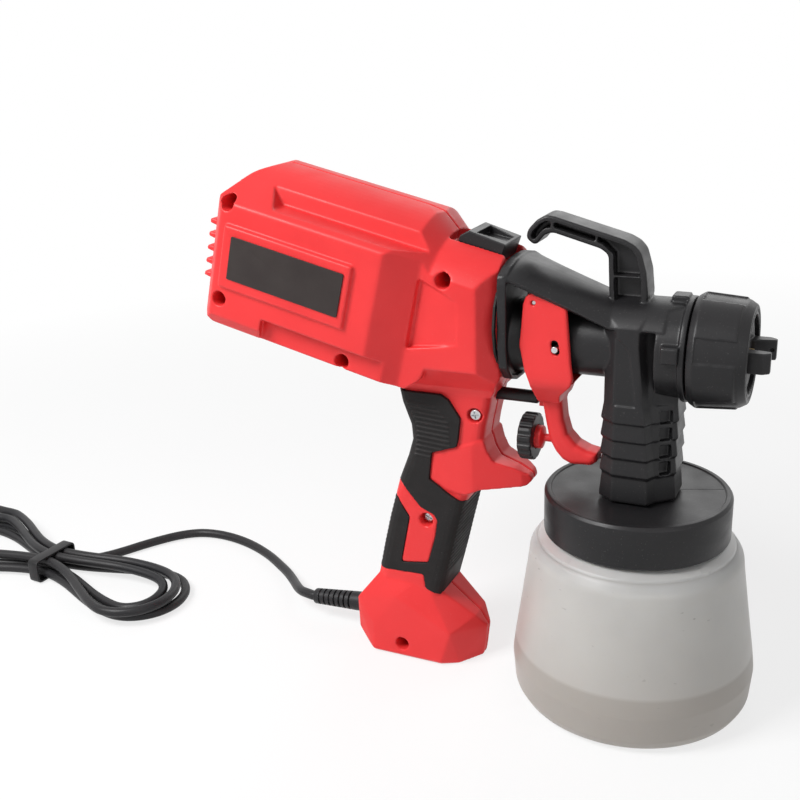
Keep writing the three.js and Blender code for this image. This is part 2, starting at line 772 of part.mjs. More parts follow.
// The latch slides along the neck's sloping top. Its frame starts at the neck's top front edge:
// s runs back up the slope and n stands square to it.
const LATCH_SLOPE = Math.atan2(NECK_TOP_REAR[1] - NECK_TOP_FRONT[1], NECK_TOP_FRONT[0] - NECK_TOP_REAR[0]);
const LATCH_TRAVEL = 4;
const LATCH_REAR_S = 23.5;
const LATCH_SINK = 4.8;

function onLatchSlope([s, n]) {
  const [cos, sin] = [Math.cos(LATCH_SLOPE), Math.sin(LATCH_SLOPE)];
  return [NECK_TOP_FRONT[0] - s * cos + n * sin, NECK_TOP_FRONT[1] + s * sin + n * cos];
}

function latchTrack() {
  const rear = LATCH_REAR_S + LATCH_TRAVEL + RUN_GAP;
  const floor = -LATCH_SINK - RUN_GAP;
  const outline = [[-3, floor], [rear, floor], [rear, 12], [-3, 12]].map(onLatchSlope);
  return plate(outline, LATCH_HALF_WIDTH + RUN_GAP);
}

function makeLatch() {
  const outline = [
    [0.4, -LATCH_SINK],
    [LATCH_REAR_S, -LATCH_SINK],
    [LATCH_REAR_S, 0.4],
    [LATCH_REAR_S - 2.5, 3.4],
    [LATCH_REAR_S - 6.5, 4.6],
    [4, 1.6],
    [0.4, 0.4],
  ].map(onLatchSlope);
  add("latch_slider", plate(outline, LATCH_HALF_WIDTH, 0.8), black);
}

// ---------------------------------------------------------------- motor and fans

const onAxis = (profile, sides = INNER_SIDES) => turnedX(profile, AXIS_V, sides, TILT_MATRIX);

function radialHoles(r, count, holeR, u0, u1) {
  const holes = [];
  for (let i = 0; i < count; i++) {
    const a = (2 * Math.PI * i) / count;
    const rodProfile = rod(holeR, u0, u1);
    holes.push(turnedX(rodProfile, AXIS_V + r * Math.sin(a), 8, TILT_MATRIX, r * Math.cos(a)));
  }
  return holes;
}

const FAN_BLADES = 8;

function fan(u0, u1) {
  const pieces = [onAxis(ring(SHAFT_R + RUN_GAP, FAN_HUB_R, u0, u1)), onAxis(ring(FAN_HUB_R - 1, FAN_R, u0, u0 + 1))];
  for (let i = 0; i < FAN_BLADES; i++) {
    const place = TILT_MATRIX.clone()
      .multiply(new THREE.Matrix4().makeTranslation(0, 0, AXIS_V))
      .multiply(new THREE.Matrix4().makeRotationX((2 * Math.PI * i) / FAN_BLADES));
    pieces.push(box(u0 + 0.5, u1, FAN_HUB_R + 2, FAN_R - 0.5, -0.6, 0.6, place));
  }
  return union(...pieces);
}

function makeMotor() {
  add("rear_filter", box(-258.5, -253.5, -26, 26, AXIS_V - 19, AXIS_V + 19, TILT_MATRIX), dark);
  const casing = union(
    onAxis(ring(FAN_R + 0.8, FAN_CHAMBER_R - RUN_GAP, -247.8, -236.4)),
    onAxis(ring(12, FAN_R + 1.5, -247.8, -246.8)),
    onAxis(ring(11, FAN_R + 1.5, -241.9, -240.9)),
  );
  add("fan_shroud", casing, black);
  add("fan_rear", fan(-246.3, -242.3), milky);
  add("fan_front", fan(-240.5, -236.9), milky);
  const mount = (u) =>
    cutAll(onAxis(ring(BEARING_R + RUN_GAP, MOTOR_CHAMBER_R - RUN_GAP, u, u + 4)), radialHoles(21, 4, 6, u - 1, u + 5));
  add("mount_rear", mount(-234), black);
  add("mount_front", mount(-167), black);
  add("bearing_rear", onAxis(ring(SHAFT_R + RUN_GAP, BEARING_R, -235, -235 + BEARING_WIDTH)), steel);
  add("bearing_front", onAxis(ring(SHAFT_R + RUN_GAP, BEARING_R, -168, -168 + BEARING_WIDTH)), steel);
  add("stator", onAxis(ring(STATOR_BORE_R, STATOR_R, STATOR_REAR_U, STATOR_FRONT_U)), steel);
  add("winding_rear", onAxis(ring(20, 28, -216.4, STATOR_REAR_U - RUN_GAP)), copper);
  add("winding_front", onAxis(ring(20, 28, STATOR_FRONT_U + RUN_GAP, -172)), copper);
  const rotor = [
    [0, -248.5],
    [SHAFT_R, -248.5],
    [SHAFT_R, -215.5],
    [14, -215.5],
    [14, STATOR_REAR_U + 1],
    [ARMATURE_R, STATOR_REAR_U + 1],
    [ARMATURE_R, STATOR_FRONT_U - 1],
    [14, STATOR_FRONT_U - 1],
    [14, -173],
    [SHAFT_R, -173],
    [SHAFT_R, -161],
    [0, -161],
  ];
  add("armature", onAxis(rotor), steel);
  add("commutator", onAxis(ring(SHAFT_R + RUN_GAP, COMMUTATOR_R, -225, -216)), copper);
  for (const [name, side] of [["brush_holder_right", -1], ["brush_holder_left", 1]]) {
    const [y0, y1] = [COMMUTATOR_R + 0.5, 25].map((y) => y * side).sort((a, b) => a - b);
    add(name, box(-223.5, -217.5, y0, y1, AXIS_V - 4, AXIS_V + 4, TILT_MATRIX), brass);
  }
}

// ---------------------------------------------------------------- switch and its plunger

const PLUNGER_BORE_REAR_X = -95;
const PLUNGER_ROD_END_X = -98.6;

function makeSwitch() {
  const plunger = turnedX(
    [
      [0, PLUNGER_ROD_END_X],
      [PLUNGER_ROD_R, PLUNGER_ROD_END_X],
      [PLUNGER_ROD_R, PLUNGER_SHOULDER_X],
      [PLUNGER_R, PLUNGER_SHOULDER_X],
      [PLUNGER_R, PLUNGER_TIP_X - 1],
      [PLUNGER_R - 1, PLUNGER_TIP_X],
      [0, PLUNGER_TIP_X],
    ],
    PLUNGER_Z,
    SMALL_SIDES,
  );
  add("switch_plunger", plunger, black);
  const springRear = PLUNGER_BORE_REAR_X + RUN_GAP;
  const springFront = PLUNGER_SHOULDER_X - RUN_GAP;
  add("plunger_spring", coilSpring(springRear, springFront, PLUNGER_Z, 2.85, 0.4, 6), steel);
  const bodyFront = PLUNGER_ROD_END_X - PLUNGER_TRAVEL - 0.4;
  add("switch_body", box(-118, bodyFront, -9, 9, 150.5, 166), black);
}

// ---------------------------------------------------------------- cord exit

const RELIEF_R = 5.6;
const RELIEF_END_R = 4.6;
const RELIEF_FLANGE_R = 8;

function makeStrainRelief() {
  const bore = CORD_R + RUN_GAP;
  const profile = [
    [bore, -RELIEF_LENGTH],
    [RELIEF_END_R, -RELIEF_LENGTH],
    [RELIEF_R, -12],
    [RELIEF_R, 3],
    [RELIEF_FLANGE_R, 3],
    [RELIEF_FLANGE_R, 5.6],
    [bore, 5.6],
    [bore, -RELIEF_LENGTH],
  ];
  add("strain_relief", turnedX(profile, 0, SMALL_SIDES, RELIEF_MATRIX), rubber);
  const clamp = box(-141, -133, -9, 9, 5, 25).subtract(
    turnedX(rod(CORD_R + RUN_GAP, -150, -120), CORD_EXIT_Z + 0.8, SMALL_SIDES),
  );
  add("cable_clamp", clamp, black);
}

// ---------------------------------------------------------------- spray head

const RING_REAR_X = COUPLING_FACE_X + COUPLING_SEAL_THICKNESS + 2 * RUN_GAP;

// The roof is a ruled shell from the coupling ring's circle to the barrel's.
function roof() {
  const section = (x, r, z) => {
    const half = THREE.MathUtils.radToDeg(Math.asin(ROOF_HALF_WIDTH / r));
    const inner = r - ROOF_THICKNESS;
    const innerHalf = THREE.MathUtils.radToDeg(Math.asin(ROOF_HALF_WIDTH / r));
    const outerArc = arc(0, z, r, 90 - half, 90 + half, 10);
    const innerArc = arc(0, z, inner, 90 + innerHalf, 90 - innerHalf, 10);
    return [...outerArc, ...innerArc].map(([y, height]) => [x, y, height]);
  };
  return loft([
    section(COUPLING_RING_FRONT_X - 2, COUPLING_RING_R, COUPLING_Z),
    section(-12, BARREL_R + 0.6, NOZZLE_Z),
    section(BARREL_FRONT_X, BARREL_R + 0.6, NOZZLE_Z - 0.4),
  ]);
}

const HOOK_OUTER = [
  [-56.2, 238],
  [-55.4, 242],
  [-51, 246.8],
  [-46.5, 249.3],
  [-42.5, 248.8],
  [-9, 239.5],
  [-4.5, 237.2],
  [-1.2, 233.7],
  [1.5, 224.5],
  [3.4, 207],
  [-15.2, 207],
  [-16.4, 232.1],
  [-20.2, 234.7],
  [-43.2, 241.2],
  [-47, 240],
  [-51.6, 234.3],
];

const HOOK_POCKET = [
  [-42.6, 246.2],
  [-9.8, 237.1],
  [-5.6, 235],
  [-3.6, 232],
  [-1, 222.5],
  [-0.6, 214],
  [-12.6, 214],
  [-13.9, 232.6],
  [-19.3, 237.1],
  [-42.6, 243.6],
];

function hook() {
  const pockets = [-1, 1].map((side) => {
    const [y0, y1] = [HOOK_WEB_HALF, HOOK_HALF_WIDTH + 1].map((y) => y * side).sort((a, b) => a - b);
    return plateBetween(HOOK_POCKET, y0, y1);
  });
  return cutAll(plate(HOOK_OUTER, HOOK_HALF_WIDTH, 1), pockets);
}

function postPlan(inset) {
  return mirroredAboutAxis([
    [POST_REAR_X + inset, POST_HALF_WIDTH - inset],
    [POST_FRONT_X - POST_CHAMFER - inset / 2, POST_HALF_WIDTH - inset],
    [POST_FRONT_X - inset, POST_HALF_WIDTH - POST_CHAMFER - inset / 2],
  ]);
}

const POST_BOTTOM_Z = LID_TOP_Z + RUN_GAP;
const LID_SPIGOT_R = 11;
const LID_SPIGOT_BOTTOM_Z = 106;
const FLUID_TUBE_R = 7.2;
const FLUID_TUBE_REAR_X = -12;
const FLUID_TUBE_FRONT_X = 36.5;
const CARRIAGE_R = 4.5;

function headBody() {
  const tubeBore = AIR_TUBE_R - AIR_TUBE_WALL;
  const barrelBore = BARREL_R - POST_WALL - 1;
  const web = turnedX(rod(COUPLING_RING_R - 1, -62, COUPLING_RING_FRONT_X - 0.5), COUPLING_Z);
  const shell = union(
    turnedX(ring(SPIGOT_R - SPIGOT_WALL, COUPLING_RING_R, RING_REAR_X, COUPLING_RING_FRONT_X), COUPLING_Z),
    turnedX(ring(SPIGOT_R - SPIGOT_WALL, SPIGOT_R, RING_REAR_X - SPIGOT_LENGTH, RING_REAR_X + 1), COUPLING_Z),
    web,
    turnedX(rod(AIR_TUBE_R, -61, -10), NOZZLE_Z, INNER_SIDES),
    roof(),
    box(PIVOT_X - 4, PIVOT_X + 4, -17.5, 17.5, 200, 216),
    turnedX(rod(BARREL_R, -13.5, FLANGE_FRONT_X - 3), NOZZLE_Z),
    columnAlongZ(postPlan(0), POST_BOTTOM_Z, NOZZLE_Z),
    hook(),
    turnedX(rod(FLANGE_R, FLANGE_FRONT_X - 3, FLANGE_FRONT_X), NOZZLE_Z),
    turnedX(rod(THREAD_R, FLANGE_FRONT_X - 4, THREAD_FRONT_X), NOZZLE_Z, INNER_SIDES),
    box(BARREL_FRONT_X, FLANGE_FRONT_X - 3, -5, 5, NOZZLE_Z + BARREL_R - 3, 214.4),
    box(BARREL_FRONT_X, FLANGE_FRONT_X - 2, -27, 27, 187.7, 195.6),
    turnedZ(rod(LID_SPIGOT_R, LID_SPIGOT_BOTTOM_Z, POST_BOTTOM_Z + 2), INNER_SIDES),
  );
  const hollow = union(
    turnedX(rod(tubeBore, -63, -9), NOZZLE_Z, INNER_SIDES),
    turnedX(rod(barrelBore, -10.5, FLANGE_FRONT_X - 3), NOZZLE_Z, INNER_SIDES),
    turnedX(rod(THREAD_R - POST_WALL, 0, THREAD_FRONT_X + 1), NOZZLE_Z, INNER_SIDES),
    columnAlongZ(postPlan(POST_WALL), POST_BOTTOM_Z + 4, NOZZLE_Z),
  );
  const fluidway = union(
    turnedX(rod(FLUID_TUBE_R, FLUID_TUBE_REAR_X, FLUID_TUBE_FRONT_X), NOZZLE_Z, INNER_SIDES),
    box(-6, 6, -6, 6, POST_BOTTOM_Z, NOZZLE_Z),
    box(-61.5, -59.3, -tubeBore - 1, tubeBore + 1, NOZZLE_Z - 3.5, NOZZLE_Z + 3.5),
  );
  const slot = PIN_R + PIN_CLEARANCE;
  const cutters = [
    turnedX(rod(FLUID_BORE_R, FLUID_TUBE_REAR_X - 1, FLUID_TUBE_FRONT_X + 1), NOZZLE_Z, SMALL_SIDES),
    turnedZ(rod(3.4, LID_SPIGOT_BOTTOM_Z - 1, NOZZLE_Z), SMALL_SIDES),
    turnedY(rod(PIN_R + RUN_GAP, -40, 40), PIVOT_X, PIVOT_Z),
    box(LINK_X - NEEDLE_TRAVEL - slot, LINK_X + slot, -40, 40, NOZZLE_Z - slot, NOZZLE_Z + slot),
  ];
  return cutAll(shell.subtract(hollow).add(fluidway), cutters);
}

function makeNeedle() {
  const carriageRear = -43.5;
  const carriageFront = -31.5;
  const guide = AIR_TUBE_R - AIR_TUBE_WALL - RUN_GAP;
  const needle = union(
    turnedX(
      [
        [0, carriageRear],
        [CARRIAGE_R, carriageRear],
        [CARRIAGE_R, carriageFront],
        [NEEDLE_R, carriageFront + 1],
        [NEEDLE_R, NEEDLE_FRONT_X - 2],
        [0, NEEDLE_FRONT_X],
      ],
      NOZZLE_Z,
      SMALL_SIDES,
    ),
    box(carriageRear, carriageRear + 2.5, -guide + 1, guide - 1, NOZZLE_Z - 2, NOZZLE_Z + 2),
    box(carriageRear, carriageRear + 2.5, -2, 2, NOZZLE_Z - guide + 1, NOZZLE_Z + guide - 1),
  ).subtract(turnedY(rod(PIN_R + RUN_GAP, -20, 20), LINK_X, NOZZLE_Z));
  add("needle", needle, steel);
  add("needle_link_pin", turnedY(rod(PIN_R, -LINK_PIN_HALF, LINK_PIN_HALF), LINK_X, NOZZLE_Z), steel);
  const springRear = -59.3 + RUN_GAP;
  const springFront = carriageRear - RUN_GAP;
  add("needle_spring", coilSpring(springRear, springFront, NOZZLE_Z, SPRING_R, SPRING_WIRE_R, 5), steel);
  const packing = ring(NEEDLE_R + RUN_GAP, PACKING_R, FLUID_TUBE_REAR_X + 0.3, FLUID_TUBE_REAR_X + 8);
  add("needle_packing", turnedX(packing, NOZZLE_Z, SMALL_SIDES), brass);
}

function makeNozzle() {
  const tip = [
    [TIP_BORE_R, FLUID_TUBE_FRONT_X + RUN_GAP],
    [TIP_SEAT_R, FLUID_TUBE_FRONT_X + RUN_GAP],
    [TIP_SEAT_R, FLUID_TUBE_FRONT_X + 3.5],
    [TIP_R, TIP_FRONT_X - 6],
    [TIP_R, TIP_FRONT_X],
    [TIP_BORE_R, TIP_FRONT_X],
    [TIP_BORE_R, FLUID_TUBE_FRONT_X + RUN_GAP],
  ];
  add("fluid_tip", turnedX(tip, NOZZLE_Z, SMALL_SIDES), brass);
  const capFlangeFront = NUT_FRONT_X - NUT_LIP - RUN_GAP;
  const cap = turnedX(
    [
      [CAP_HOLE_R, CAP_FACE_X - 3],
      [8, CAP_FACE_X - 4],
      [CAP_R - 2, CAP_REAR_X + 2],
      [CAP_R - 2, CAP_REAR_X],
      [CAP_FLANGE_R, CAP_REAR_X],
      [CAP_FLANGE_R, capFlangeFront],
      [CAP_R, capFlangeFront],
      [CAP_R, CAP_FACE_X],
      [CAP_HOLE_R, CAP_FACE_X],
      [CAP_HOLE_R, CAP_FACE_X - 3],
    ],
    NOZZLE_Z,
  );
  const horns = [-1, 1].map((side) => {
    const outline = [
      [CAP_FACE_X - 2, HORN_OUTER_Y],
      [HORN_TIP_X - 3, HORN_OUTER_Y],
      [HORN_TIP_X, HORN_OUTER_Y - 2.2],
      [HORN_TIP_X, HORN_INNER_Y + 2],
      [CAP_FACE_X + 1, HORN_INNER_Y],
      [CAP_FACE_X - 2, HORN_INNER_Y],
    ].map(([x, y]) => [x, y * side]);
    return columnAlongZ(
      side > 0 ? outline.reverse() : outline,
      NOZZLE_Z - HORN_HALF_HEIGHT,
      NOZZLE_Z + HORN_HALF_HEIGHT,
    );
  });
  add("air_cap", union(cap, ...horns), black);
  const nut = [
    [NUT_BORE_R, NUT_REAR_X],
    [FLANGE_R + 0.4, NUT_REAR_X],
    [NUT_R, NUT_REAR_X + 3],
    [NUT_FRONT_R, NUT_FRONT_X - NUT_CHAMFER],
    [NUT_FRONT_R - NUT_CHAMFER + 0.4, NUT_FRONT_X],
    [NUT_MOUTH_R, NUT_FRONT_X],
    [NUT_MOUTH_R, NUT_FRONT_X - NUT_LIP],
    [NUT_BORE_R, NUT_FRONT_X - NUT_LIP],
    [NUT_BORE_R, NUT_REAR_X],
  ];
  add("nozzle_nut", turnedX(nut, NOZZLE_Z), black);
}

// ---------------------------------------------------------------- trigger

const CHEEK_OUTLINE = [
  [-48.6, 215.4],
  [-52, 213],
  [-53.4, 209],
  [-54.4, 197],
  [-55.2, 188.7],
  [-52.7, 176.4],
  [-49.9, 170.4],
  [-48.9, 162.9],
  [-46.8, 156.4],
  [-44.6, 143.4],
  [-40.7, 135.9],
  [-36.5, 130.8],
  [-28.8, 125.9],
  [-22.4, 125.7],
  [-20, 129],
  [-20.4, 133.5],
  [-26, 136.4],
  [-30.1, 141],
  [-32.9, 155.4],
  [-32.5, 163],
  [-28.4, 171.4],
  [-29.5, 181.3],
  [-31.8, 207.9],
  [-35.5, 212],
  [-43, 216],
];

const TRIGGER_SECTION = mirrored([
  [0, 220],
  [CHEEK_OUTER_Y, 220],
  [CHEEK_OUTER_Y, 170],
  [BLADE_HALF_WIDTH + 1, 157],
  [BLADE_HALF_WIDTH, 124],
  [0, 124],
]);

const CHANNEL_OUTLINE = [
  [-70, 167.5],
  [-36.5, 167.5],
  [-35.9, 155.4],
  [-33.3, 141],
  [-31.5, 137.5],
  [-36.5, 134.8],
  [-44, 136.5],
  [-50, 145],
];

function makeTrigger() {
  const saddle = box(-80, 0, -CHEEK_INNER_Y, CHEEK_INNER_Y, NOZZLE_Z - AIR_TUBE_R - 0.8, 240);
  const slotR = PIN_R + PIN_CLEARANCE;
  const slot = plate(
    [...arc(LINK_X + 0.2, NOZZLE_Z - 1.1, slotR, 190, 370, 6), ...arc(LINK_X - 0.4, NOZZLE_Z + 2.5, slotR, 10, 190, 6)],
    30,
  );
  const shell = plate(CHEEK_OUTLINE, CHEEK_OUTER_Y, 0.8)
    .intersect(barAlongX(TRIGGER_SECTION, -80, 0))
    .subtract(saddle)
    .subtract(plate(CHANNEL_OUTLINE, BLADE_HALF_WIDTH - 2.6));
  const pusher = box(PLUNGER_TIP_X + 0.6, -35, -2, 2, PLUNGER_Z - 4, PLUNGER_Z + 4);
  const boss = turnedX(rod(4.5, -46, -31), KNOB_Z + 2, SMALL_SIDES).intersect(plate(CHEEK_OUTLINE, BLADE_HALF_WIDTH));
  const cutters = [
    slot,
    turnedY(rod(PIN_R + PIN_CLEARANCE, -40, 40), PIVOT_X, PIVOT_Z),
    turnedX(rod(KNOB_SCREW_R + RUN_GAP, -60, KNOB_SCREW_END_X + 1), KNOB_Z, SMALL_SIDES),
  ];
  add("trigger", largest(cutAll(union(shell, pusher, boss), cutters)), red);
  add("trigger_pin", turnedY(rod(PIN_R, -CHEEK_OUTER_Y - 1, CHEEK_OUTER_Y + 1), PIVOT_X, PIVOT_Z), steel);
}

const KNOB_SCREW_END_X = -37;

function makeFlowKnob() {
  const disc = turnedX(
    [
      [KNOB_HUB_R + RUN_GAP, KNOB_REAR_X],
      [KNOB_R - 1, KNOB_REAR_X],
      [KNOB_R, KNOB_REAR_X + 1],
      [KNOB_R, KNOB_FRONT_X - 1],
      [KNOB_R - 1, KNOB_FRONT_X],
      [KNOB_HUB_R + RUN_GAP, KNOB_FRONT_X],
      [KNOB_HUB_R + RUN_GAP, KNOB_REAR_X],
    ],
    KNOB_Z,
  );
  const flutes = [];
  for (let i = 0; i < KNOB_FLUTES; i++) {
    const a = (2 * Math.PI * i) / KNOB_FLUTES;
    const [y, z] = [(KNOB_R + 0.5) * Math.cos(a), KNOB_Z + (KNOB_R + 0.5) * Math.sin(a)];
    flutes.push(turnedX(rod(KNOB_FLUTE_R, KNOB_REAR_X - 1, KNOB_FRONT_X + 1), z, 6, IDENTITY, y));
  }
  add("flow_knob", cutAll(disc, flutes), black);
  const hub = [
    [0, KNOB_REAR_X - 0.5],
    [KNOB_HUB_R, KNOB_REAR_X - 0.5],
    [KNOB_HUB_R, KNOB_FRONT_X + 3],
    [KNOB_SCREW_R, KNOB_FRONT_X + 4],
    [KNOB_SCREW_R, KNOB_SCREW_END_X],
    [0, KNOB_SCREW_END_X],
  ];
  add("flow_knob_hub", turnedX(hub, KNOB_Z, SMALL_SIDES), red);
}

// ---------------------------------------------------------------- container and lid

const CONTAINER_OUTER = [
  [0, 0],
  [CONTAINER_BASE_R, 0],
  [57.4, 2.2],
  [60.2, 7],
  [CONTAINER_MAX_R, CONTAINER_MAX_Z],
  [59.6, 35],
  [57.3, 50],
  [55.3, 64],
  [CONTAINER_SHOULDER_R, CONTAINER_SHOULDER_Z],
  [50, 86],
  [44.5, 90],
  [CONTAINER_NECK_R, 92],
  [CONTAINER_NECK_R, CONTAINER_NECK_TOP_Z],
];

function makeContainer() {
  const inner = CONTAINER_OUTER.slice(1).map(([r, z]) => [r - CONTAINER_WALL, Math.max(z, 1.4 * CONTAINER_WALL)]);
  inner[inner.length - 1][1] = CONTAINER_NECK_TOP_Z;
  const profile = [...CONTAINER_OUTER, ...inner.reverse(), [0, 1.4 * CONTAINER_WALL]];
  add("container", turnedZ(profile, CONTAINER_SIDES), milky);
  const lidInner = CONTAINER_NECK_R + 1;
  const lid = [
    [LID_SPIGOT_R + RUN_GAP, LID_TOP_Z - LID_WALL],
    [lidInner, LID_TOP_Z - LID_WALL],
    [lidInner, LID_BOTTOM_Z],
    [LID_R, LID_BOTTOM_Z],
    [LID_R, LID_TOP_Z - LID_CHAMFER],
    [LID_R - LID_CHAMFER, LID_TOP_Z],
    [LID_SPIGOT_R + RUN_GAP, LID_TOP_Z],
    [LID_SPIGOT_R + RUN_GAP, LID_TOP_Z - LID_WALL],
  ];
  add("lid", turnedZ(lid, CONTAINER_SIDES), black);
  const gasketTop = LID_TOP_Z - LID_WALL - 0.1;
  const gasket = ring(CONTAINER_NECK_R - 4, CONTAINER_NECK_R + 0.4, gasketTop - GASKET_THICKNESS + 0.3, gasketTop);
  add("lid_gasket", turnedZ(gasket, INNER_SIDES), rubber);
  add("pressure_valve", turnedZ(rod(4, 107, gasketTop - 0.2), SMALL_SIDES, -26), rubber);
  const tube = ring(SUCTION_TUBE_BORE_R, SUCTION_TUBE_R, SUCTION_TUBE_FOOT_Z, LID_SPIGOT_BOTTOM_Z - RUN_GAP);
  add("suction_tube", turnedZ(tube, SMALL_SIDES), black);
}

// ---------------------------------------------------------------- mains cord

// The cord comes out of the strain relief, comes down onto the ground and reaches the hank.
const relief = new THREE.Vector3(-RELIEF_LENGTH - RUN_GAP, 0, 0).applyMatrix4(RELIEF_MATRIX);
const GROUND_Z = CORD_R + 0.1;

// The hank's own frame: its waist, where the tie is, and the direction of its near end.
const HANK_X = -381;
const HANK_Y = -17;
const HANK_TURN_DEG = -4;
const HANK_LENGTH = 116; // from the waist to the tip of the outermost loop
const HANK_LENGTH_STEP = 11; // the next loop's tip is this much shorter
const HANK_TIP_R = 35; // round end of the outermost loop
const HANK_TIP_STEP = 8.2;
const HANK_PITCH = 2 * CORD_R + 1.2; // between neighbouring runs at the waist
const HANK_LAYER = 2 * CORD_R + 1;
const HANK_TURNS_IN = 2; // loops in the lower layer, and again in the upper
const HANK_FAN_DEG = 7; // the upper layer's loops splay by this much
const HANK_START = 0.25; // turns past the near tip
const HANK_END = 3.38;
const HANK_TAIL = 47; // straight on from the last turn, over the far loops, to the plug
const TIE_THICKNESS = 1.2;
const TIE_HALF_LENGTH = 4;

const HANK_TURN = THREE.MathUtils.degToRad(HANK_TURN_DEG);
const TAIL_STEPS = 4;
const TIE_LIFT = TIE_THICKNESS + RUN_GAP; // the tie passes under the runs at the waist

// A point of the hank's tube. The turn counts from the near tip: a quarter of a turn on is the
// waist, half a turn on is the far tip. Loops spiral in, climb a layer, and spiral out again.
function hankPoint(turn) {
  const depth = turn < HANK_TURNS_IN ? turn : 2 * HANK_TURNS_IN - turn;
  const climb = THREE.MathUtils.smoothstep(turn, HANK_TURNS_IN - 0.25, HANK_TURNS_IN + 0.25);
  const length = HANK_LENGTH - HANK_LENGTH_STEP * depth;
  const tipR = HANK_TIP_R - HANK_TIP_STEP * depth;
  const waist = HANK_PITCH * (HANK_TURNS_IN - depth);
  const quarter = (turn * 4) % 2; // 0 at a tip, 1 at the waist, 2 at the other tip
  const fromWaist = Math.abs(1 - quarter);
  const near = Math.cos(2 * Math.PI * turn) >= 0 ? 1 : -1;
  const side = Math.sin(2 * Math.PI * turn) >= 0 ? 1 : -1;
  const run = length - tipR;
  let x;
  let y;
  if (fromWaist < 0.5) {
    x = run * (fromWaist / 0.5);
    y = waist + (tipR - waist) * THREE.MathUtils.smoothstep(x, 0, run);
  } else {
    const a = (Math.PI / 2) * ((fromWaist - 0.5) / 0.5);
    x = run + tipR * Math.sin(a);
    y = tipR * Math.cos(a);
  }
  const fan = THREE.MathUtils.degToRad(HANK_TURN_DEG - HANK_FAN_DEG * climb * Math.min(1, x / run));
  const [px, py] = [x * near, y * side];
  return [
    HANK_X + px * Math.cos(fan) - py * Math.sin(fan),
    HANK_Y + px * Math.sin(fan) + py * Math.cos(fan),
    GROUND_Z + HANK_LAYER * climb + TIE_LIFT * (1 - THREE.MathUtils.smoothstep(x, 0, run)),
  ];
}

function hankPoints() {
  const count = Math.round((HANK_END - HANK_START) * CORD_LOOP_STEPS);
  const points = [];
  for (let i = 0; i <= count; i++) {
    points.push(hankPoint(HANK_START + ((HANK_END - HANK_START) * i) / count));
  }
  const [x, y, z] = points[points.length - 1];
  for (let i = 1; i <= TAIL_STEPS; i++) {
    const along = (HANK_TAIL * i) / TAIL_STEPS;
    points.push([x - along * Math.cos(HANK_TURN), y - along * Math.sin(HANK_TURN), z]);
  }
  return points;
}

const CORD_ROUTE = [
  [-196.2, 1.2, 12.6],
  [-202.4, 4.4, 11.2],
  [-209, 10.4, 9.2],
  [-217, 19.2, 7],
  [-228.5, 30.6, 5],
  [-240, 39.8, 3.8],
  [-254, 49.6, GROUND_Z],
  [-270, 57.4, GROUND_Z],
  [-287, 62.6, GROUND_Z],
  [-303, 64.2, GROUND_Z],
  [-317, 61.8, GROUND_Z],
  [-328, 54.6, GROUND_Z],
  [-337.2, 43.6, GROUND_Z],
  [-345.6, 30.4, GROUND_Z],
  [-352.6, 18, GROUND_Z],
  [-359.6, 7, GROUND_Z + 0.4],
  [-366.6, -1, GROUND_Z + 1],
];

function length(points) {
  let sum = 0;
  for (let i = 1; i < points.length; i++) {
    sum += Math.hypot(...points[i].map((value, k) => value - points[i - 1][k]));
  }
  return sum;
}

// Least gap between the tube's surface and itself, leaving out what lies close along the tube.
function leastGap(points, r) {
  const curve = new THREE.CatmullRomCurve3(points.map((p) => new THREE.Vector3(...p)), false, "centripetal");
  const samples = curve.getSpacedPoints(Math.round(length(points) / 2));
  const skip = Math.ceil((8 * r) / 2);
  let least = Infinity;
  for (let i = 0; i < samples.length; i++) {
    for (let j = i + skip; j < samples.length; j++) {
      least = Math.min(least, samples[i].distanceTo(samples[j]));
    }
  }
  return least - 2 * r;
}

function makeCord() {
  const hank = hankPoints();
  const [start, next] = hank;
  const toHank = new THREE.Vector3(...start).sub(new THREE.Vector3(...next)).normalize();
  const meet = new THREE.Vector3(...start).addScaledVector(toHank, RUN_GAP);
  const before = meet.clone().addScaledVector(toHank, 2 * CORD_R);
  const away = new THREE.Vector3(-1, 0, 0).transformDirection(RELIEF_MATRIX);
  const firstX = relief.clone().addScaledVector(away, 2);
  const route = [relief.toArray(), firstX.toArray(), ...CORD_ROUTE, before.toArray(), meet.toArray()];
  add("cord", tubeAlong(route, CORD_R, CORD_ROUTE_SIDES, CORD_ROUTE_STEPS), rubber);
  add("cord_hank", tubeAlong(hank, CORD_R, CORD_SIDES, hank.length - 1), rubber);
  console.log("free cord", length(route).toFixed(0), "mm, hank", length(hank).toFixed(0), "mm");
  console.log("least gap of the hank to itself", leastGap(hank, CORD_R).toFixed(2), "mm");
}

// A closed band round the hank's waist.
function makeTie() {
  const place = new THREE.Matrix4().makeTranslation(HANK_X, HANK_Y, 0);
  place.multiply(new THREE.Matrix4().makeRotationZ(HANK_TURN));
  const top = GROUND_Z + TIE_LIFT + HANK_LAYER + CORD_R + RUN_GAP;
  const half = HANK_PITCH * (HANK_TURNS_IN - HANK_START) + CORD_R + 2 * RUN_GAP;
  const corner = CORD_R / 3;
  const section = (grow) => mirrored([
    [half + grow - corner, GROUND_Z + TIE_LIFT - CORD_R - RUN_GAP - grow],
    [half + grow, GROUND_Z + TIE_LIFT - CORD_R - RUN_GAP - grow + corner],
    [half + grow, top - corner],
    [half + grow - corner, top + grow],
  ]);
  const outer = barAlongX(section(TIE_THICKNESS), -TIE_HALF_LENGTH, TIE_HALF_LENGTH, place);
  const inner = barAlongX(section(0), -TIE_HALF_LENGTH - 1, TIE_HALF_LENGTH + 1, place);
  add("hank_tie", outer.subtract(inner), black);
}

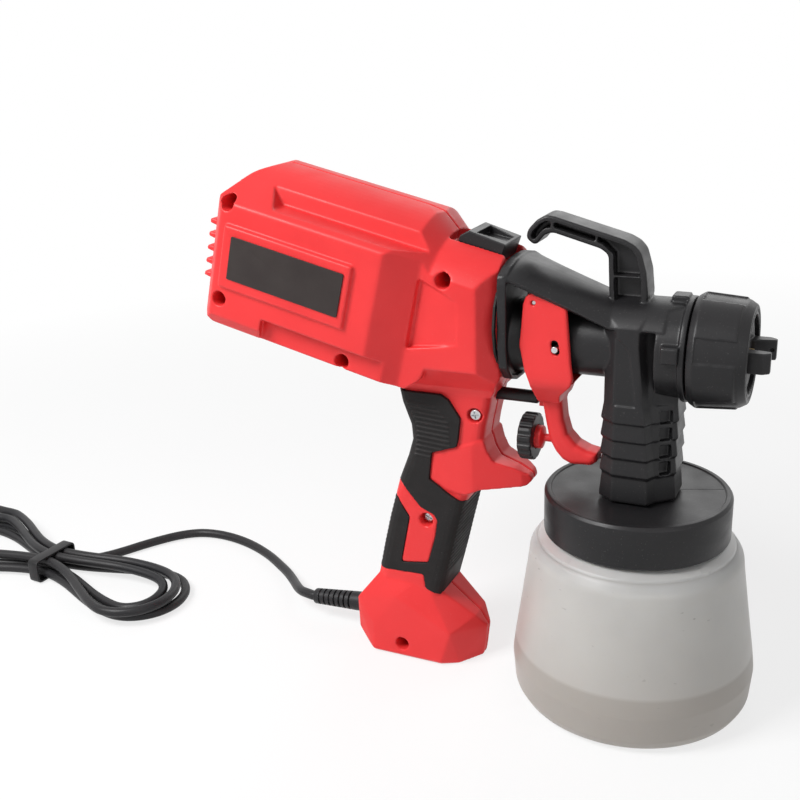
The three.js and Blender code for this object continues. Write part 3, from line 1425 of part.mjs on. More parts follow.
const PLUG_LENGTH = 40;
const PLUG_HALF_WIDTH = 16;
const PLUG_PIN_R = 2;
const PLUG_PIN_LENGTH = 19;
const PLUG_PIN_SPACING = 18.6;

// The plug lies on the ground in line with the cord's tail.
function makePlug() {
  const hank = hankPoints();
  const [x, y, z] = hank[hank.length - 1];
  const place = new THREE.Matrix4().makeTranslation(x, y, z);
  place.multiply(new THREE.Matrix4().makeRotationZ(HANK_TURN + Math.PI));
  const sleeve = CORD_R + 1.6;
  const plan = mirroredAboutAxis([
    [RUN_GAP, sleeve],
    [9, sleeve + 0.6],
    [16, PLUG_HALF_WIDTH - 3],
    [24, PLUG_HALF_WIDTH],
    [PLUG_LENGTH - 2, PLUG_HALF_WIDTH],
    [PLUG_LENGTH, PLUG_HALF_WIDTH - 2],
  ]);
  const low = RUN_GAP / 2 - z;
  const side = [
    [RUN_GAP, -sleeve],
    [9, -sleeve - 0.6],
    [20, low],
    [PLUG_LENGTH, low],
    [PLUG_LENGTH, -low],
    [20, -low],
    [9, sleeve + 0.6],
    [RUN_GAP, sleeve],
  ];
  const body = columnAlongZ(plan, -20, 20, place).intersect(plate(side, 30, 0, 0, place));
  const pins = [-1, 1].map((s) =>
    turnedX(rod(PLUG_PIN_R, PLUG_LENGTH - 1, PLUG_LENGTH + PLUG_PIN_LENGTH), 0, SMALL_SIDES, place,
      (s * PLUG_PIN_SPACING) / 2),
  );
  add("plug", union(body, ...pins), black);
}

// ---------------------------------------------------------------- assembly

function makeCouplingSeal() {
  const sealRear = COUPLING_FACE_X + RUN_GAP;
  add("coupling_seal", turnedX(ring(27, 29.5, sealRear, sealRear + COUPLING_SEAL_THICKNESS), COUPLING_Z, INNER_SIDES), rubber);
}

makeHousing();
makeScrews();
makeLatch();
makeMotor();
makeSwitch();
makeStrainRelief();
makeCouplingSeal();
add("head_body", headBody(), black);
makeTrigger();
makeFlowKnob();
makeNeedle();
makeNozzle();
makeContainer();
makeCord();
makeTie();
makePlug();

export default sprayer;
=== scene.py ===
"""The looks of a handheld turbine paint sprayer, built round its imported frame.

Shapes are drawn in millimetres in the frame's own axes (+X along the nozzle, +Z up) and are brought
to metres when they are handed to the frame.
"""

import json
import math

import bmesh
import bpy
from mathutils import Matrix, Vector


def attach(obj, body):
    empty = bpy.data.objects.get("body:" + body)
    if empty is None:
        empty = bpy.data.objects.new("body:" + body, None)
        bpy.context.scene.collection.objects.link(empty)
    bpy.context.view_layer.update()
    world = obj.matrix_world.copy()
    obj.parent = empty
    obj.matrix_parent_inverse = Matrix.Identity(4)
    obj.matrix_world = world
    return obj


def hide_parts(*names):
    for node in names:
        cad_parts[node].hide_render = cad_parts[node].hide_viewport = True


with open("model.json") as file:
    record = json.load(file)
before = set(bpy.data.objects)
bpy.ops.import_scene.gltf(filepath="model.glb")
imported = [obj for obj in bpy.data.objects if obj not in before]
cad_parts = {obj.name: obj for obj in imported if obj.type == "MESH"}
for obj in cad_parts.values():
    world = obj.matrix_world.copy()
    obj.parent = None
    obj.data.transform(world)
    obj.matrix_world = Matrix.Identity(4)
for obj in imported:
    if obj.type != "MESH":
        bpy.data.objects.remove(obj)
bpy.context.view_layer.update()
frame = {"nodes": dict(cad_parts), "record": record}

MM = 0.001
TINY = 1e-6
IDENTITY = Matrix.Identity(4)

# ---------------------------------------------------------------- camera

CAMERA_AZIMUTH = math.radians(25.7)
CAMERA_ELEVATION = math.radians(19.6)
CAMERA_ROLL = math.radians(-2.2)
CAMERA_TARGET = Vector((-129.3, 0, 145.2)) * MM
CAMERA_DISTANCE = 0.5754
CAMERA_LENS = 48.2


def make_camera():
    sin_a, cos_a = math.sin(CAMERA_AZIMUTH), math.cos(CAMERA_AZIMUTH)
    sin_e, cos_e = math.sin(CAMERA_ELEVATION), math.cos(CAMERA_ELEVATION)
    back = Vector((sin_a * cos_e, -cos_a * cos_e, sin_e))
    right = Vector((cos_a, sin_a, 0))
    level = Matrix((right, back.cross(right), back)).transposed()
    camera = bpy.data.objects.new("camera", bpy.data.cameras.new("camera"))
    camera.data.lens = CAMERA_LENS
    camera.data.clip_start = 0.01
    turned = level @ Matrix.Rotation(CAMERA_ROLL, 3, "Z")
    place = Matrix.Translation(CAMERA_TARGET + back * CAMERA_DISTANCE)
    camera.matrix_world = place @ turned.to_4x4()
    bpy.context.scene.collection.objects.link(camera)
    bpy.context.scene.camera = camera


# ---------------------------------------------------------------- solids


def link(name, data):
    made = bpy.data.objects.new(name, data)
    bpy.context.scene.collection.objects.link(made)
    return made


def solid_of(vertices, faces, place=IDENTITY):
    mesh = bpy.data.meshes.new("solid")
    mesh.from_pydata([place @ Vector(v) for v in vertices], [], faces)
    shape = bmesh.new()
    shape.from_mesh(mesh)
    bmesh.ops.recalc_face_normals(shape, faces=shape.faces)
    shape.to_mesh(mesh)
    shape.free()
    return link("solid", mesh)


def put(axis, a, b, along):
    """A point from its two places across an axis, in the order of the alphabet, and the one along it."""
    return {"X": (along, a, b), "Y": (a, along, b), "Z": (a, b, along)}[axis]


def prism(axis, outline, low, high, edge=0.0, place=IDENTITY, steps=4):
    """An outline drawn out along an axis. Its two rims are rounded by edge, in that many steps."""
    count = len(outline)
    bottom = [put(axis, a, b, low(a, b) if callable(low) else low) for a, b in outline]
    top = [put(axis, a, b, high(a, b) if callable(high) else high) for a, b in outline]
    sides = [(i, (i + 1) % count, (i + 1) % count + count, i + count) for i in range(count)]
    caps = [tuple(range(count)), tuple(range(2 * count - 1, count - 1, -1))]
    made = solid_of(bottom + top, sides + caps, place)
    if edge:
        shape = bmesh.new()
        shape.from_mesh(made.data)
        rims = [e for e in shape.edges if (e.verts[0].index < count) == (e.verts[1].index < count)]
        bmesh.ops.bevel(
            shape, geom=rims, offset=edge, segments=steps, profile=0.5, affect="EDGES", clamp_overlap=True
        )
        shape.to_mesh(made.data)
        shape.free()
    return made


def lathe(axis, profile, centre=(0, 0), sides=96, place=IDENTITY):
    """A turned solid. Profile points are (radius, along), round a loop or from the axis to the axis."""
    vertices, rings = [], []
    for r, along in profile:
        if r < TINY:
            rings.append([len(vertices)])
            vertices.append(put(axis, *centre, along))
            continue
        rings.append(list(range(len(vertices), len(vertices) + sides)))
        for i in range(sides):
            turn = 2 * math.pi * i / sides
            at = (centre[0] + r * math.cos(turn), centre[1] + r * math.sin(turn))
            vertices.append(put(axis, *at, along))
    pairs = list(zip(rings, rings[1:]))
    if len(rings[0]) > 1:
        pairs.append((rings[-1], rings[0]))
    faces = []
    for a, b in pairs:
        for i in range(sides):
            j = (i + 1) % sides
            face = [a[i % len(a)], a[j % len(a)], b[j % len(b)], b[i % len(b)]]
            faces.append(tuple(dict.fromkeys(face)))
    return solid_of(vertices, [f for f in faces if len(f) > 2], place)


def rod(r, a, b):
    """The profile of a solid bar, for lathe."""
    return [(0, a), (r, a), (r, b), (0, b)]


def ring(r, outer, a, b):
    """The profile of a tube, for lathe."""
    return [(r, a), (outer, a), (outer, b), (r, b)]


LINE_SIDES = 8


def line(start, end, r):
    """A thin rod from start to end, to raise or to cut a line with."""
    start, end = Vector(start), Vector(end)
    turn = (end - start).to_track_quat("X", "Z").to_matrix().to_4x4()
    place = Matrix.Translation(start) @ turn
    return lathe("X", rod(r, 0, (end - start).length), sides=LINE_SIDES, place=place)


def loft(sections):
    """A surface through closed sections of the same number of points, with flat ends."""
    count = len(sections[0])
    faces = []
    for s in range(len(sections) - 1):
        for i in range(count):
            j = (i + 1) % count
            faces.append((s * count + i, s * count + j, (s + 1) * count + j, (s + 1) * count + i))
    last = (len(sections) - 1) * count
    faces += [tuple(range(count)), tuple(range(last + count - 1, last - 1, -1))]
    return solid_of([p for section in sections for p in section], faces)


def box(x0, x1, y0, y1, z0, z1, edge=0.0, place=IDENTITY):
    return prism("Y", [(x0, z0), (x1, z0), (x1, z1), (x0, z1)], y0, y1, edge, place)


def hull(points):
    """The convex solid round some points."""
    shape = bmesh.new()
    for point in points:
        shape.verts.new(point)
    made = bmesh.ops.convex_hull(shape, input=shape.verts)
    spare = {v for v in made["geom_interior"] + made["geom_unused"] if isinstance(v, bmesh.types.BMVert)}
    bmesh.ops.delete(shape, geom=list(spare), context="VERTS")
    bmesh.ops.recalc_face_normals(shape, faces=shape.faces)
    mesh = bpy.data.meshes.new("hull")
    shape.to_mesh(mesh)
    shape.free()
    return link("hull", mesh)


# A fillet takes at most this share of a side, and one that is shorter than the least is left out,
# as is one at a corner whose half angle is nearly a right angle.
FILLET_SHARE = 0.45
FILLET_LEAST = 0.05
STRAIGHT = 1.5


def filleted(outline, radius, steps=4, closed=True):
    """The outline with its corners rounded by one radius, or by one for each point."""
    count = len(outline)
    radii = [radius] * count if isinstance(radius, (int, float)) else radius
    points = []
    for i in range(count):
        here = Vector(outline[i])
        if not closed and i in (0, count - 1):
            points.append(tuple(here))
            continue
        back = Vector(outline[i - 1]) - here
        on = Vector(outline[(i + 1) % count]) - here
        half = back.angle(on) / 2
        longest = FILLET_SHARE * min(back.length, on.length)
        cut = min(radii[i] / math.tan(half), longest) if half < STRAIGHT else 0
        if cut < FILLET_LEAST:
            points.append(tuple(here))
            continue
        start, end = here + back.normalized() * cut, here + on.normalized() * cut
        for s in range(steps + 1):
            t = s / steps
            points.append(tuple(start * (1 - t) ** 2 + here * (2 * t * (1 - t)) + end * t**2))
    return points


def grown(outline, by):
    """A convex outline, listed counter-clockwise or clockwise, moved outward."""
    middle = sum((Vector(p) for p in outline), Vector((0, 0))) / len(outline)
    count = len(outline)
    points = []
    for i in range(count):
        here = Vector(outline[i])
        normals = []
        for other in (Vector(outline[i - 1]), Vector(outline[(i + 1) % count])):
            along = (other - here).normalized()
            normal = Vector((along.y, -along.x))
            normals.append(normal if normal.dot(here - middle) > 0 else -normal)
        total = normals[0] + normals[1]
        points.append(tuple(here + total * (by / (1 + normals[0].dot(normals[1])))))
    return points


def x_at(outline, z):
    """Where a side line, listed downward, stands at a height."""
    for (xa, za), (xb, zb) in zip(outline, outline[1:]):
        if zb <= z <= za:
            return xa + (xb - xa) * (za - z) / (za - zb)
    return outline[-1][0]


def arc(cx, cy, r, start, end, steps):
    """Points round a centre, between two angles in degrees."""
    turns = [math.radians(start + (end - start) * i / steps) for i in range(steps + 1)]
    return [(cx + r * math.cos(t), cy + r * math.sin(t)) for t in turns]


def mirrored(points):
    """The half of an outline at positive a, with its mirror image at negative a."""
    return points + [(-a, b) for a, b in reversed(points) if abs(a) > TINY]


def across(points):
    """The half of an outline at positive b, with its mirror image at negative b."""
    return points + [(a, -b) for a, b in reversed(points) if abs(b) > TINY]


def bake(made):
    """Turns the modifiers of a solid into its mesh."""
    bpy.context.view_layer.update()
    graph = bpy.context.evaluated_depsgraph_get()
    mesh = bpy.data.meshes.new_from_object(made.evaluated_get(graph))
    made.modifiers.clear()
    made.data = mesh
    return made


def combine(first, others, operation):
    for other in others:
        step = first.modifiers.new("combine", "BOOLEAN")
        step.operation = operation
        step.solver = "MANIFOLD"
        step.object = other
    bake(first)
    for other in others:
        bpy.data.objects.remove(other)
    return first


def join(first, *others):
    return combine(first, others, "UNION")


def cut(first, *others):
    return combine(first, others, "DIFFERENCE")


def common(first, *others):
    return combine(first, others, "INTERSECT")


def moulded(made, voxel, rounds, keep):
    """Gives a solid the small fillets of a moulded part, with few faces left where it is flat."""
    voxels = made.modifiers.new("voxels", "REMESH")
    voxels.mode = "VOXEL"
    voxels.voxel_size = voxel
    soft = made.modifiers.new("soft", "SMOOTH")
    soft.factor = 0.5
    soft.iterations = rounds
    fewer = made.modifiers.new("fewer", "DECIMATE")
    fewer.ratio = keep
    return bake(made)


SHARP_ANGLE = math.radians(38)


def hand_over(made, name, body, slot, *nodes, sharp=True):
    """Brings a finished solid to metres, gives it its finish and hands it to the frame."""
    made.name = name
    made.data.name = name
    made.data.transform(Matrix.Scale(MM, 4))
    made.data.materials.clear()
    made.data.materials.append(FINISHES[slot])
    made.data.polygons.foreach_set("use_smooth", [True] * len(made.data.polygons))
    if sharp:
        made.data.set_sharp_from_angle(angle=SHARP_ANGLE)
    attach(made, body)
    if nodes:
        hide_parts(*nodes)
    return made


# ---------------------------------------------------------------- finishes


def add_node(tree, kind, inputs=None, **settings):
    made = tree.nodes.new("ShaderNode" + kind)
    for name, value in settings.items():
        setattr(made, name, value)
    for name, value in (inputs or {}).items():
        if isinstance(value, bpy.types.NodeSocket):
            tree.links.new(value, made.inputs[name])
        else:
            made.inputs[name].default_value = value
    return made


def noise(tree, where, scale, detail=3.0, stretch=None):
    """A noise of that many features a metre, from 0 to 1."""
    if stretch:
        where = add_node(tree, "Mapping", {"Vector": where, "Scale": stretch}).outputs["Vector"]
    made = add_node(tree, "TexNoise", {"Vector": where, "Scale": scale, "Detail": detail})
    return made.outputs["Fac"]


def ramp(tree, value, low, high, to_low=0.0, to_high=1.0):
    inputs = {"Value": value, "From Min": low, "From Max": high, "To Min": to_low, "To Max": to_high}
    return add_node(tree, "MapRange", inputs).outputs["Result"]


def mix_colour(tree, factor, a, b):
    made = add_node(tree, "Mix", {"Factor": factor}, data_type="RGBA")
    for socket, value in ((made.inputs[6], a), (made.inputs[7], b)):
        if isinstance(value, bpy.types.NodeSocket):
            tree.links.new(value, socket)
        else:
            socket.default_value = (*value, 1)
    return made.outputs[2]


def multiply(tree, a, b):
    return add_node(tree, "Math", {0: a, 1: b}, operation="MULTIPLY").outputs[0]


def bump(tree, shader, height, distance, strength):
    inputs = {"Strength": strength, "Distance": distance, "Height": height}
    tree.links.new(add_node(tree, "Bump", inputs).outputs["Normal"], shader.inputs["Normal"])


def new_finish(name):
    made = bpy.data.materials.new(name)
    made.use_nodes = True
    tree = made.node_tree
    tree.nodes.clear()
    output = add_node(tree, "OutputMaterial")
    shader = add_node(tree, "BsdfPrincipled")
    tree.links.new(shader.outputs["BSDF"], output.inputs["Surface"])
    where = add_node(tree, "TexCoord").outputs["Object"]
    return made, tree, shader, where


def worn_edges(tree, where, radius):
    """1 along the sharp edges of a piece, broken up by noise, and 0 elsewhere."""
    rounded = add_node(tree, "Bevel", {"Radius": radius}, samples=4).outputs["Normal"]
    true = add_node(tree, "NewGeometry").outputs["Normal"]
    inputs = {0: rounded, 1: true}
    facing = add_node(tree, "VectorMath", inputs, operation="DOT_PRODUCT").outputs["Value"]
    edge = ramp(tree, facing, 0.99, 0.86)
    return multiply(tree, edge, ramp(tree, noise(tree, where, 420), 0.35, 0.6))


PLASTIC_SPECULAR = 0.28


def plastic(name, colour, blotch, worn, roughness, grain, depth, wear=0.3, dust=0.05):
    """A moulded surface: spark-eroded grain, faint flow marks, rubbed edges and a little dust."""
    made, tree, shader, where = new_finish(name)
    shader.inputs["Specular IOR Level"].default_value = PLASTIC_SPECULAR
    flow = ramp(tree, noise(tree, where, 26, 4), 0.35, 0.65)
    base = mix_colour(tree, flow, colour, blotch)
    rubbed = multiply(tree, worn_edges(tree, where, 0.0009), wear)
    base = mix_colour(tree, rubbed, base, worn)
    specks = ramp(tree, noise(tree, where, 1300, 2), 0.66, 0.74, 0, dust)
    base = mix_colour(tree, specks, base, (0.55, 0.53, 0.5))
    tree.links.new(base, shader.inputs["Base Color"])
    smears = noise(tree, where, 70, 5, (1, 1, 2.6))
    smears = ramp(tree, smears, 0.3, 0.7, roughness - 0.05, roughness + 0.08)
    tree.links.new(smears, shader.inputs["Roughness"])
    bump(tree, shader, noise(tree, where, 1 / grain, 2), depth, 0.6)
    return made


def metal(name, colour, dull, roughness, brush):
    """A turned or rolled metal: fine marks one way, and stains."""
    made, tree, shader, where = new_finish(name)
    stain = ramp(tree, noise(tree, where, 160, 4), 0.4, 0.7)
    tree.links.new(mix_colour(tree, stain, colour, dull), shader.inputs["Base Color"])
    shader.inputs["Metallic"].default_value = 1
    lines = noise(tree, where, 900, 3, brush)
    tree.links.new(ramp(tree, lines, 0.3, 0.7, roughness, roughness + 0.2), shader.inputs["Roughness"])
    bump(tree, shader, lines, 0.00003, 0.3)
    return made


CONTAINER_BAND_Z = 0.031


def milky_plastic():
    """Blown polyethylene that lets light through: darker toward the bottom and below its band, with a few
    scuffs.
    """
    made, tree, shader, where = new_finish("milky_plastic")
    height = add_node(tree, "SeparateXYZ", {"Vector": where}).outputs["Z"]
    foot = ramp(tree, height, CONTAINER_BAND_Z + 0.001, CONTAINER_BAND_Z - 0.001)
    cloud = ramp(tree, noise(tree, where, 22, 3), 0.3, 0.7)
    wall = mix_colour(tree, cloud, (0.62, 0.605, 0.575), (0.55, 0.535, 0.51))
    # Darker toward the bottom of the wall, and darker still below the band.
    wall = mix_colour(tree, ramp(tree, height, 0.085, 0.03, 0, 0.5), wall, (0.50, 0.465, 0.425))
    base = mix_colour(tree, multiply(tree, foot, 0.8), wall, (0.40, 0.365, 0.33))
    scuffs = ramp(tree, noise(tree, where, 150, 6, (1, 1, 3)), 0.70, 0.74, 0, 0.5)
    base = mix_colour(tree, scuffs, base, (0.3, 0.28, 0.25))
    tree.links.new(base, shader.inputs["Base Color"])
    shader.inputs["Subsurface Weight"].default_value = 0.35
    shader.inputs["Subsurface Radius"].default_value = (1.0, 0.9, 0.75)
    shader.inputs["Subsurface Scale"].default_value = 0.006
    shader.inputs["Transmission Weight"].default_value = 0.12
    shader.inputs["IOR"].default_value = 1.5
    tree.links.new(ramp(tree, cloud, 0, 1, 0.36, 0.46), shader.inputs["Roughness"])
    bump(tree, shader, noise(tree, where, 380, 4), 0.0001, 0.25)
    return made


def label_film():
    made, tree, shader, where = new_finish("label")
    cloud = ramp(tree, noise(tree, where, 60, 4), 0.3, 0.7)
    film = mix_colour(tree, cloud, (0.026, 0.019, 0.018), (0.036, 0.028, 0.026))
    tree.links.new(film, shader.inputs["Base Color"])
    shader.inputs["Specular IOR Level"].default_value = PLASTIC_SPECULAR
    gloss = ramp(tree, noise(tree, where, 240, 3), 0.3, 0.7, 0.34, 0.46)
    tree.links.new(gloss, shader.inputs["Roughness"])
    bump(tree, shader, noise(tree, where, 1800, 2), 0.00004, 0.2)
    return made


def open_foam():
    made, tree, shader, where = new_finish("filter_foam")
    cells = add_node(tree, "TexVoronoi", {"Vector": where, "Scale": 900.0}).outputs["Distance"]
    # Painted shade: the pits of the cells are painted darker than the strands between them.
    pore_painted_shade = mix_colour(tree, ramp(tree, cells, 0.1, 0.6), (0.01, 0.01, 0.01), (0.07, 0.07, 0.07))
    tree.links.new(pore_painted_shade, shader.inputs["Base Color"])
    shader.inputs["Roughness"].default_value = 0.95
    bump(tree, shader, cells, 0.0006, 0.9)
    return made


FINISHES = {
    "red_plastic": plastic(
        "red_plastic", (0.80, 0.040, 0.042), (0.74, 0.034, 0.036), (0.92, 0.15, 0.14), 0.38, 0.0005, 0.00003
    ),
    "black_plastic": plastic(
        "black_plastic", (0.011, 0.011, 0.012), (0.016, 0.015, 0.016), (0.09, 0.09, 0.095), 0.36, 0.0006,
        0.00005, wear=0.5, dust=0.06,
    ),
    "rubber": plastic(
        "rubber", (0.008, 0.007, 0.007), (0.012, 0.010, 0.010), (0.05, 0.05, 0.05), 0.6, 0.0004, 0.00006
    ),
    "milky_plastic": milky_plastic(),
    "label": label_film(),
    "filter_foam": open_foam(),
    "fan_plastic": plastic(
        "fan_plastic", (0.6, 0.6, 0.58), (0.55, 0.55, 0.52), (0.75, 0.75, 0.72), 0.45, 0.0006, 0.00003
    ),
    "steel": metal("steel", (0.62, 0.63, 0.65), (0.48, 0.48, 0.48), 0.16, (1, 8, 8)),
    "copper": metal("copper", (0.72, 0.33, 0.18), (0.5, 0.2, 0.1), 0.24, (1, 1, 10)),
    "brass": metal("brass", (0.74, 0.54, 0.24), (0.5, 0.36, 0.15), 0.2, (1, 8, 8)),
    "cord_pvc": plastic(
        "cord_pvc", (0.014, 0.014, 0.016), (0.019, 0.018, 0.019), (0.05, 0.05, 0.05), 0.40, 0.0011, 0.00004
    ),
}


# ---------------------------------------------------------------- mains cord

CORD_R = 2.9
GROUND_Z = CORD_R + 0.1
RELIEF_LENGTH = 40
RELIEF_R = 5.6
RELIEF_FLANGE_R = 8
RELIEF_GROOVES = 7
RELIEF_PITCH = 3.4
RELIEF_GROOVE = 1.3
RELIEF_DROOP = math.radians(5)
RELIEF_PLACE = Matrix.Translation((-150, 0, 16.6)) @ Matrix.Rotation(-RELIEF_DROOP, 4, "Y")
RUN_GAP = 0.3
CORD_STEP = 2.5

HANK_X = -381
HANK_Y = -17
HANK_TURN = math.radians(-4)
HANK_LENGTH = 116
HANK_LENGTH_STEP = 11
HANK_TIP_R = 35
HANK_TIP_STEP = 8.2
HANK_PITCH = 2 * CORD_R + 1.2
HANK_LAYER = 2 * CORD_R + 1
HANK_TURNS_IN = 2
HANK_FAN = math.radians(7)
HANK_START = 0.25
HANK_END = 3.38
HANK_TAIL = 47
HANK_STEPS = 24
TAIL_STEPS = 4
TIE_THICKNESS = 1.2
TIE_HALF_LENGTH = 4
TIE_LIFT = TIE_THICKNESS + RUN_GAP

CORD_ROUTE = [
    (-196.2, 1.2, 12.6), (-202.4, 4.4, 11.2), (-209, 10.4, 9.2), (-217, 19.2, 7), (-228.5, 30.6, 5),
    (-240, 39.8, 3.8), (-254, 49.6, GROUND_Z), (-270, 57.4, GROUND_Z), (-287, 62.6, GROUND_Z),
    (-303, 64.2, GROUND_Z), (-317, 61.8, GROUND_Z), (-328, 54.6, GROUND_Z), (-337.2, 43.6, GROUND_Z),
    (-345.6, 30.4, GROUND_Z), (-352.6, 18, GROUND_Z), (-359.6, 7, GROUND_Z + 0.4),
    (-366.6, -1, GROUND_Z + 1),
]


def smoothstep(x, low, high):
    t = min(1, max(0, (x - low) / (high - low)))
    return t * t * (3 - 2 * t)


def hank_point(turn):
    """A point of the hank: loops spiral in, climb a layer, and spiral out again."""
    depth = turn if turn < HANK_TURNS_IN else 2 * HANK_TURNS_IN - turn
    climb = smoothstep(turn, HANK_TURNS_IN - 0.25, HANK_TURNS_IN + 0.25)
    tip_r = HANK_TIP_R - HANK_TIP_STEP * depth
    run = HANK_LENGTH - HANK_LENGTH_STEP * depth - tip_r
    waist = HANK_PITCH * (HANK_TURNS_IN - depth)
    from_waist = abs(1 - (turn * 4) % 2)
    near = 1 if math.cos(2 * math.pi * turn) >= 0 else -1
    side = 1 if math.sin(2 * math.pi * turn) >= 0 else -1
    if from_waist < 0.5:
        x = run * from_waist / 0.5
        y = waist + (tip_r - waist) * smoothstep(x, 0, run)
    else:
        a = math.pi / 2 * (from_waist - 0.5) / 0.5
        x = run + tip_r * math.sin(a)
        y = tip_r * math.cos(a)
    fan = HANK_TURN - HANK_FAN * climb * min(1, x / run)
    px, py = x * near, y * side
    return Vector(
        (
            HANK_X + px * math.cos(fan) - py * math.sin(fan),
            HANK_Y + px * math.sin(fan) + py * math.cos(fan),
            GROUND_Z + HANK_LAYER * climb + TIE_LIFT * (1 - smoothstep(x, 0, run)),
        )
    )


def hank_points():
    count = round((HANK_END - HANK_START) * HANK_STEPS)
    points = [hank_point(HANK_START + (HANK_END - HANK_START) * i / count) for i in range(count + 1)]
    away = Vector((math.cos(HANK_TURN), math.sin(HANK_TURN), 0))
    last = points[-1]
    return points + [last - away * (HANK_TAIL * i / TAIL_STEPS) for i in range(1, TAIL_STEPS + 1)]


def smooth_line(points, step):
    """A smooth curve through the points, in steps of about that length."""
    ends = [points[0] * 2 - points[1], *points, points[-1] * 2 - points[-2]]
    path = [points[0]]
    for a, b, c, d in zip(ends, ends[1:], ends[2:], ends[3:]):
        knots = [0.0]
        for p, q in ((a, b), (b, c), (c, d)):
            knots.append(knots[-1] + (q - p).length ** 0.5)
        count = max(2, round((c - b).length / step))
        for i in range(1, count + 1):
            t = knots[1] + (knots[2] - knots[1]) * i / count
            path.append(between_knots((a, b, c, d), knots, t))
    return path


def between_knots(points, knots, t):
    """The curve's place at t, by blending its four points in pairs three times over."""
    level = list(points)
    for width in range(1, 4):
        next_level = []
        for i in range(4 - width):
            t0, t1 = knots[i], knots[i + width]
            next_level.append(level[i] * ((t1 - t) / (t1 - t0)) + level[i + 1] * ((t - t0) / (t1 - t0)))
        level = next_level
    return level[0]


def make_cord():
    hank = hank_points()
    to_hank = (hank[0] - hank[1]).normalized()
    exit_point = RELIEF_PLACE @ Vector((-RELIEF_LENGTH - RUN_GAP, 0, 0))
    away = (RELIEF_PLACE.to_3x3() @ Vector((-1, 0, 0))).normalized()
    route = [exit_point, exit_point + away * 2, *map(Vector, CORD_ROUTE)]
    route.append(hank[0] + to_hank * (2 * CORD_R))
    path = smooth_line(route + hank, CORD_STEP)
    curve = bpy.data.curves.new("mains_cord", "CURVE")
    curve.dimensions = "3D"
    spline = curve.splines.new("POLY")
    spline.points.add(len(path) - 1)
    for point, at in zip(spline.points, path):
        point.co = (*(at * MM), 1)
    spline.use_smooth = True
    curve.bevel_depth = CORD_R * MM
    curve.bevel_resolution = 5
    curve.use_fill_caps = True
    curve.materials.append(FINISHES["cord_pvc"])
    cord = link("mains_cord", curve)
    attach(cord, "motor_unit")
    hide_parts("cord", "cord_hank")
    tie, plug = make_tie(), make_plug(hank[-1])


def make_tie():
    """A flat band round the hank's waist."""
    place = Matrix.Translation((HANK_X, HANK_Y, 0)) @ Matrix.Rotation(HANK_TURN, 4, "Z")
    low = GROUND_Z + TIE_LIFT - CORD_R - RUN_GAP
    top = GROUND_Z + TIE_LIFT + HANK_LAYER + CORD_R + RUN_GAP
    half = HANK_PITCH * (HANK_TURNS_IN - HANK_START) + CORD_R + 2 * RUN_GAP

    def section(grow):
        corners = [(half + grow, low - grow), (half + grow, top + grow)]
        return filleted(mirrored(corners), CORD_R * 0.8 + grow, 5)

    band = prism("X", section(TIE_THICKNESS), -TIE_HALF_LENGTH, TIE_HALF_LENGTH, 0.4, place)
    hole = prism("X", section(0), -TIE_HALF_LENGTH - 1, TIE_HALF_LENGTH + 1, 0, place)
    band = cut(band, hole)
    return hand_over(band, "cord_tie", "motor_unit", "black_plastic", "hank_tie")


PLUG_LENGTH = 40
PLUG_HALF_WIDTH = 16
PLUG_PIN_R = 2
PLUG_PIN_LENGTH = 19
PLUG_PIN_SPACING = 18.6


def make_plug(tail_end):
    """A moulded two-pin plug that lies on the ground in line with the cord's tail."""
    place = Matrix.Translation(tail_end) @ Matrix.Rotation(HANK_TURN + math.pi, 4, "Z")
    sleeve = CORD_R + 1.6
    plan = across(
        [
            (RUN_GAP, sleeve), (9, sleeve + 0.6), (16, PLUG_HALF_WIDTH - 3), (24, PLUG_HALF_WIDTH),
            (PLUG_LENGTH - 1, PLUG_HALF_WIDTH), (PLUG_LENGTH, PLUG_HALF_WIDTH - 1),
        ]
    )
    low = RUN_GAP / 2 - tail_end.z
    side = [
        (RUN_GAP, -sleeve), (9, -sleeve - 0.6), (20, low), (PLUG_LENGTH, low), (PLUG_LENGTH, -low),
        (20, -low), (9, sleeve + 0.6), (RUN_GAP, sleeve),
    ]
    body = common(
        prism("Z", filleted(plan, 4), -20, 20, 0, place), prism("Y", filleted(side, 3), -30, 30, 0, place)
    )
    grooves = [
        lathe("X", [(sleeve - 0.5, x), (12, x), (12, x + 1), (sleeve - 0.5, x + 1)], sides=24, place=place)
        for x in (2.5, 5, 7.5)
    ]
    body = moulded(cut(body, *grooves), voxel=0.45, rounds=4, keep=0.4)
    for s in (-1, 1):
        y = s * PLUG_PIN_SPACING / 2
        profile = [
            (0, PLUG_LENGTH - 1), (PLUG_PIN_R, PLUG_LENGTH - 1),
            (PLUG_PIN_R, PLUG_LENGTH + PLUG_PIN_LENGTH - 1),
            (PLUG_PIN_R - 1, PLUG_LENGTH + PLUG_PIN_LENGTH), (0, PLUG_LENGTH + PLUG_PIN_LENGTH),
        ]
        pin = lathe("X", profile, (y, 0), 32, place)
        hand_over(pin, "plug_pin_" + ("near" if s < 0 else "far"), "motor_unit", "steel")
    return hand_over(body, "mains_plug", "motor_unit", "cord_pvc", "plug")


# ---------------------------------------------------------------- motor unit

TILT = Matrix.Rotation(math.radians(13.9), 4, "Y")
AXIS_V = 173.5
MOTOR_REAR_U = -263
MOTOR_SIDE_Y = 43
COUPLING_FACE_X = -66
COUPLING_Z = 197.2
SPIGOT_R = 21.6
HANDLE_HALF_WIDTH = 15.6
GRIP_HALF_WIDTH = 17.6
GRIP_SIDE_RISE = 1.7
NECK_SIDE_Y = 31
NECK_R = 36.6
SEAM_HALF_GAP = 0.12
FAR = 700


def from_motor(u, v):
    """A place in the motor's own tilted frame, as X and Z."""
    at = TILT @ Vector((u, 0, v))
    return at.x, at.z


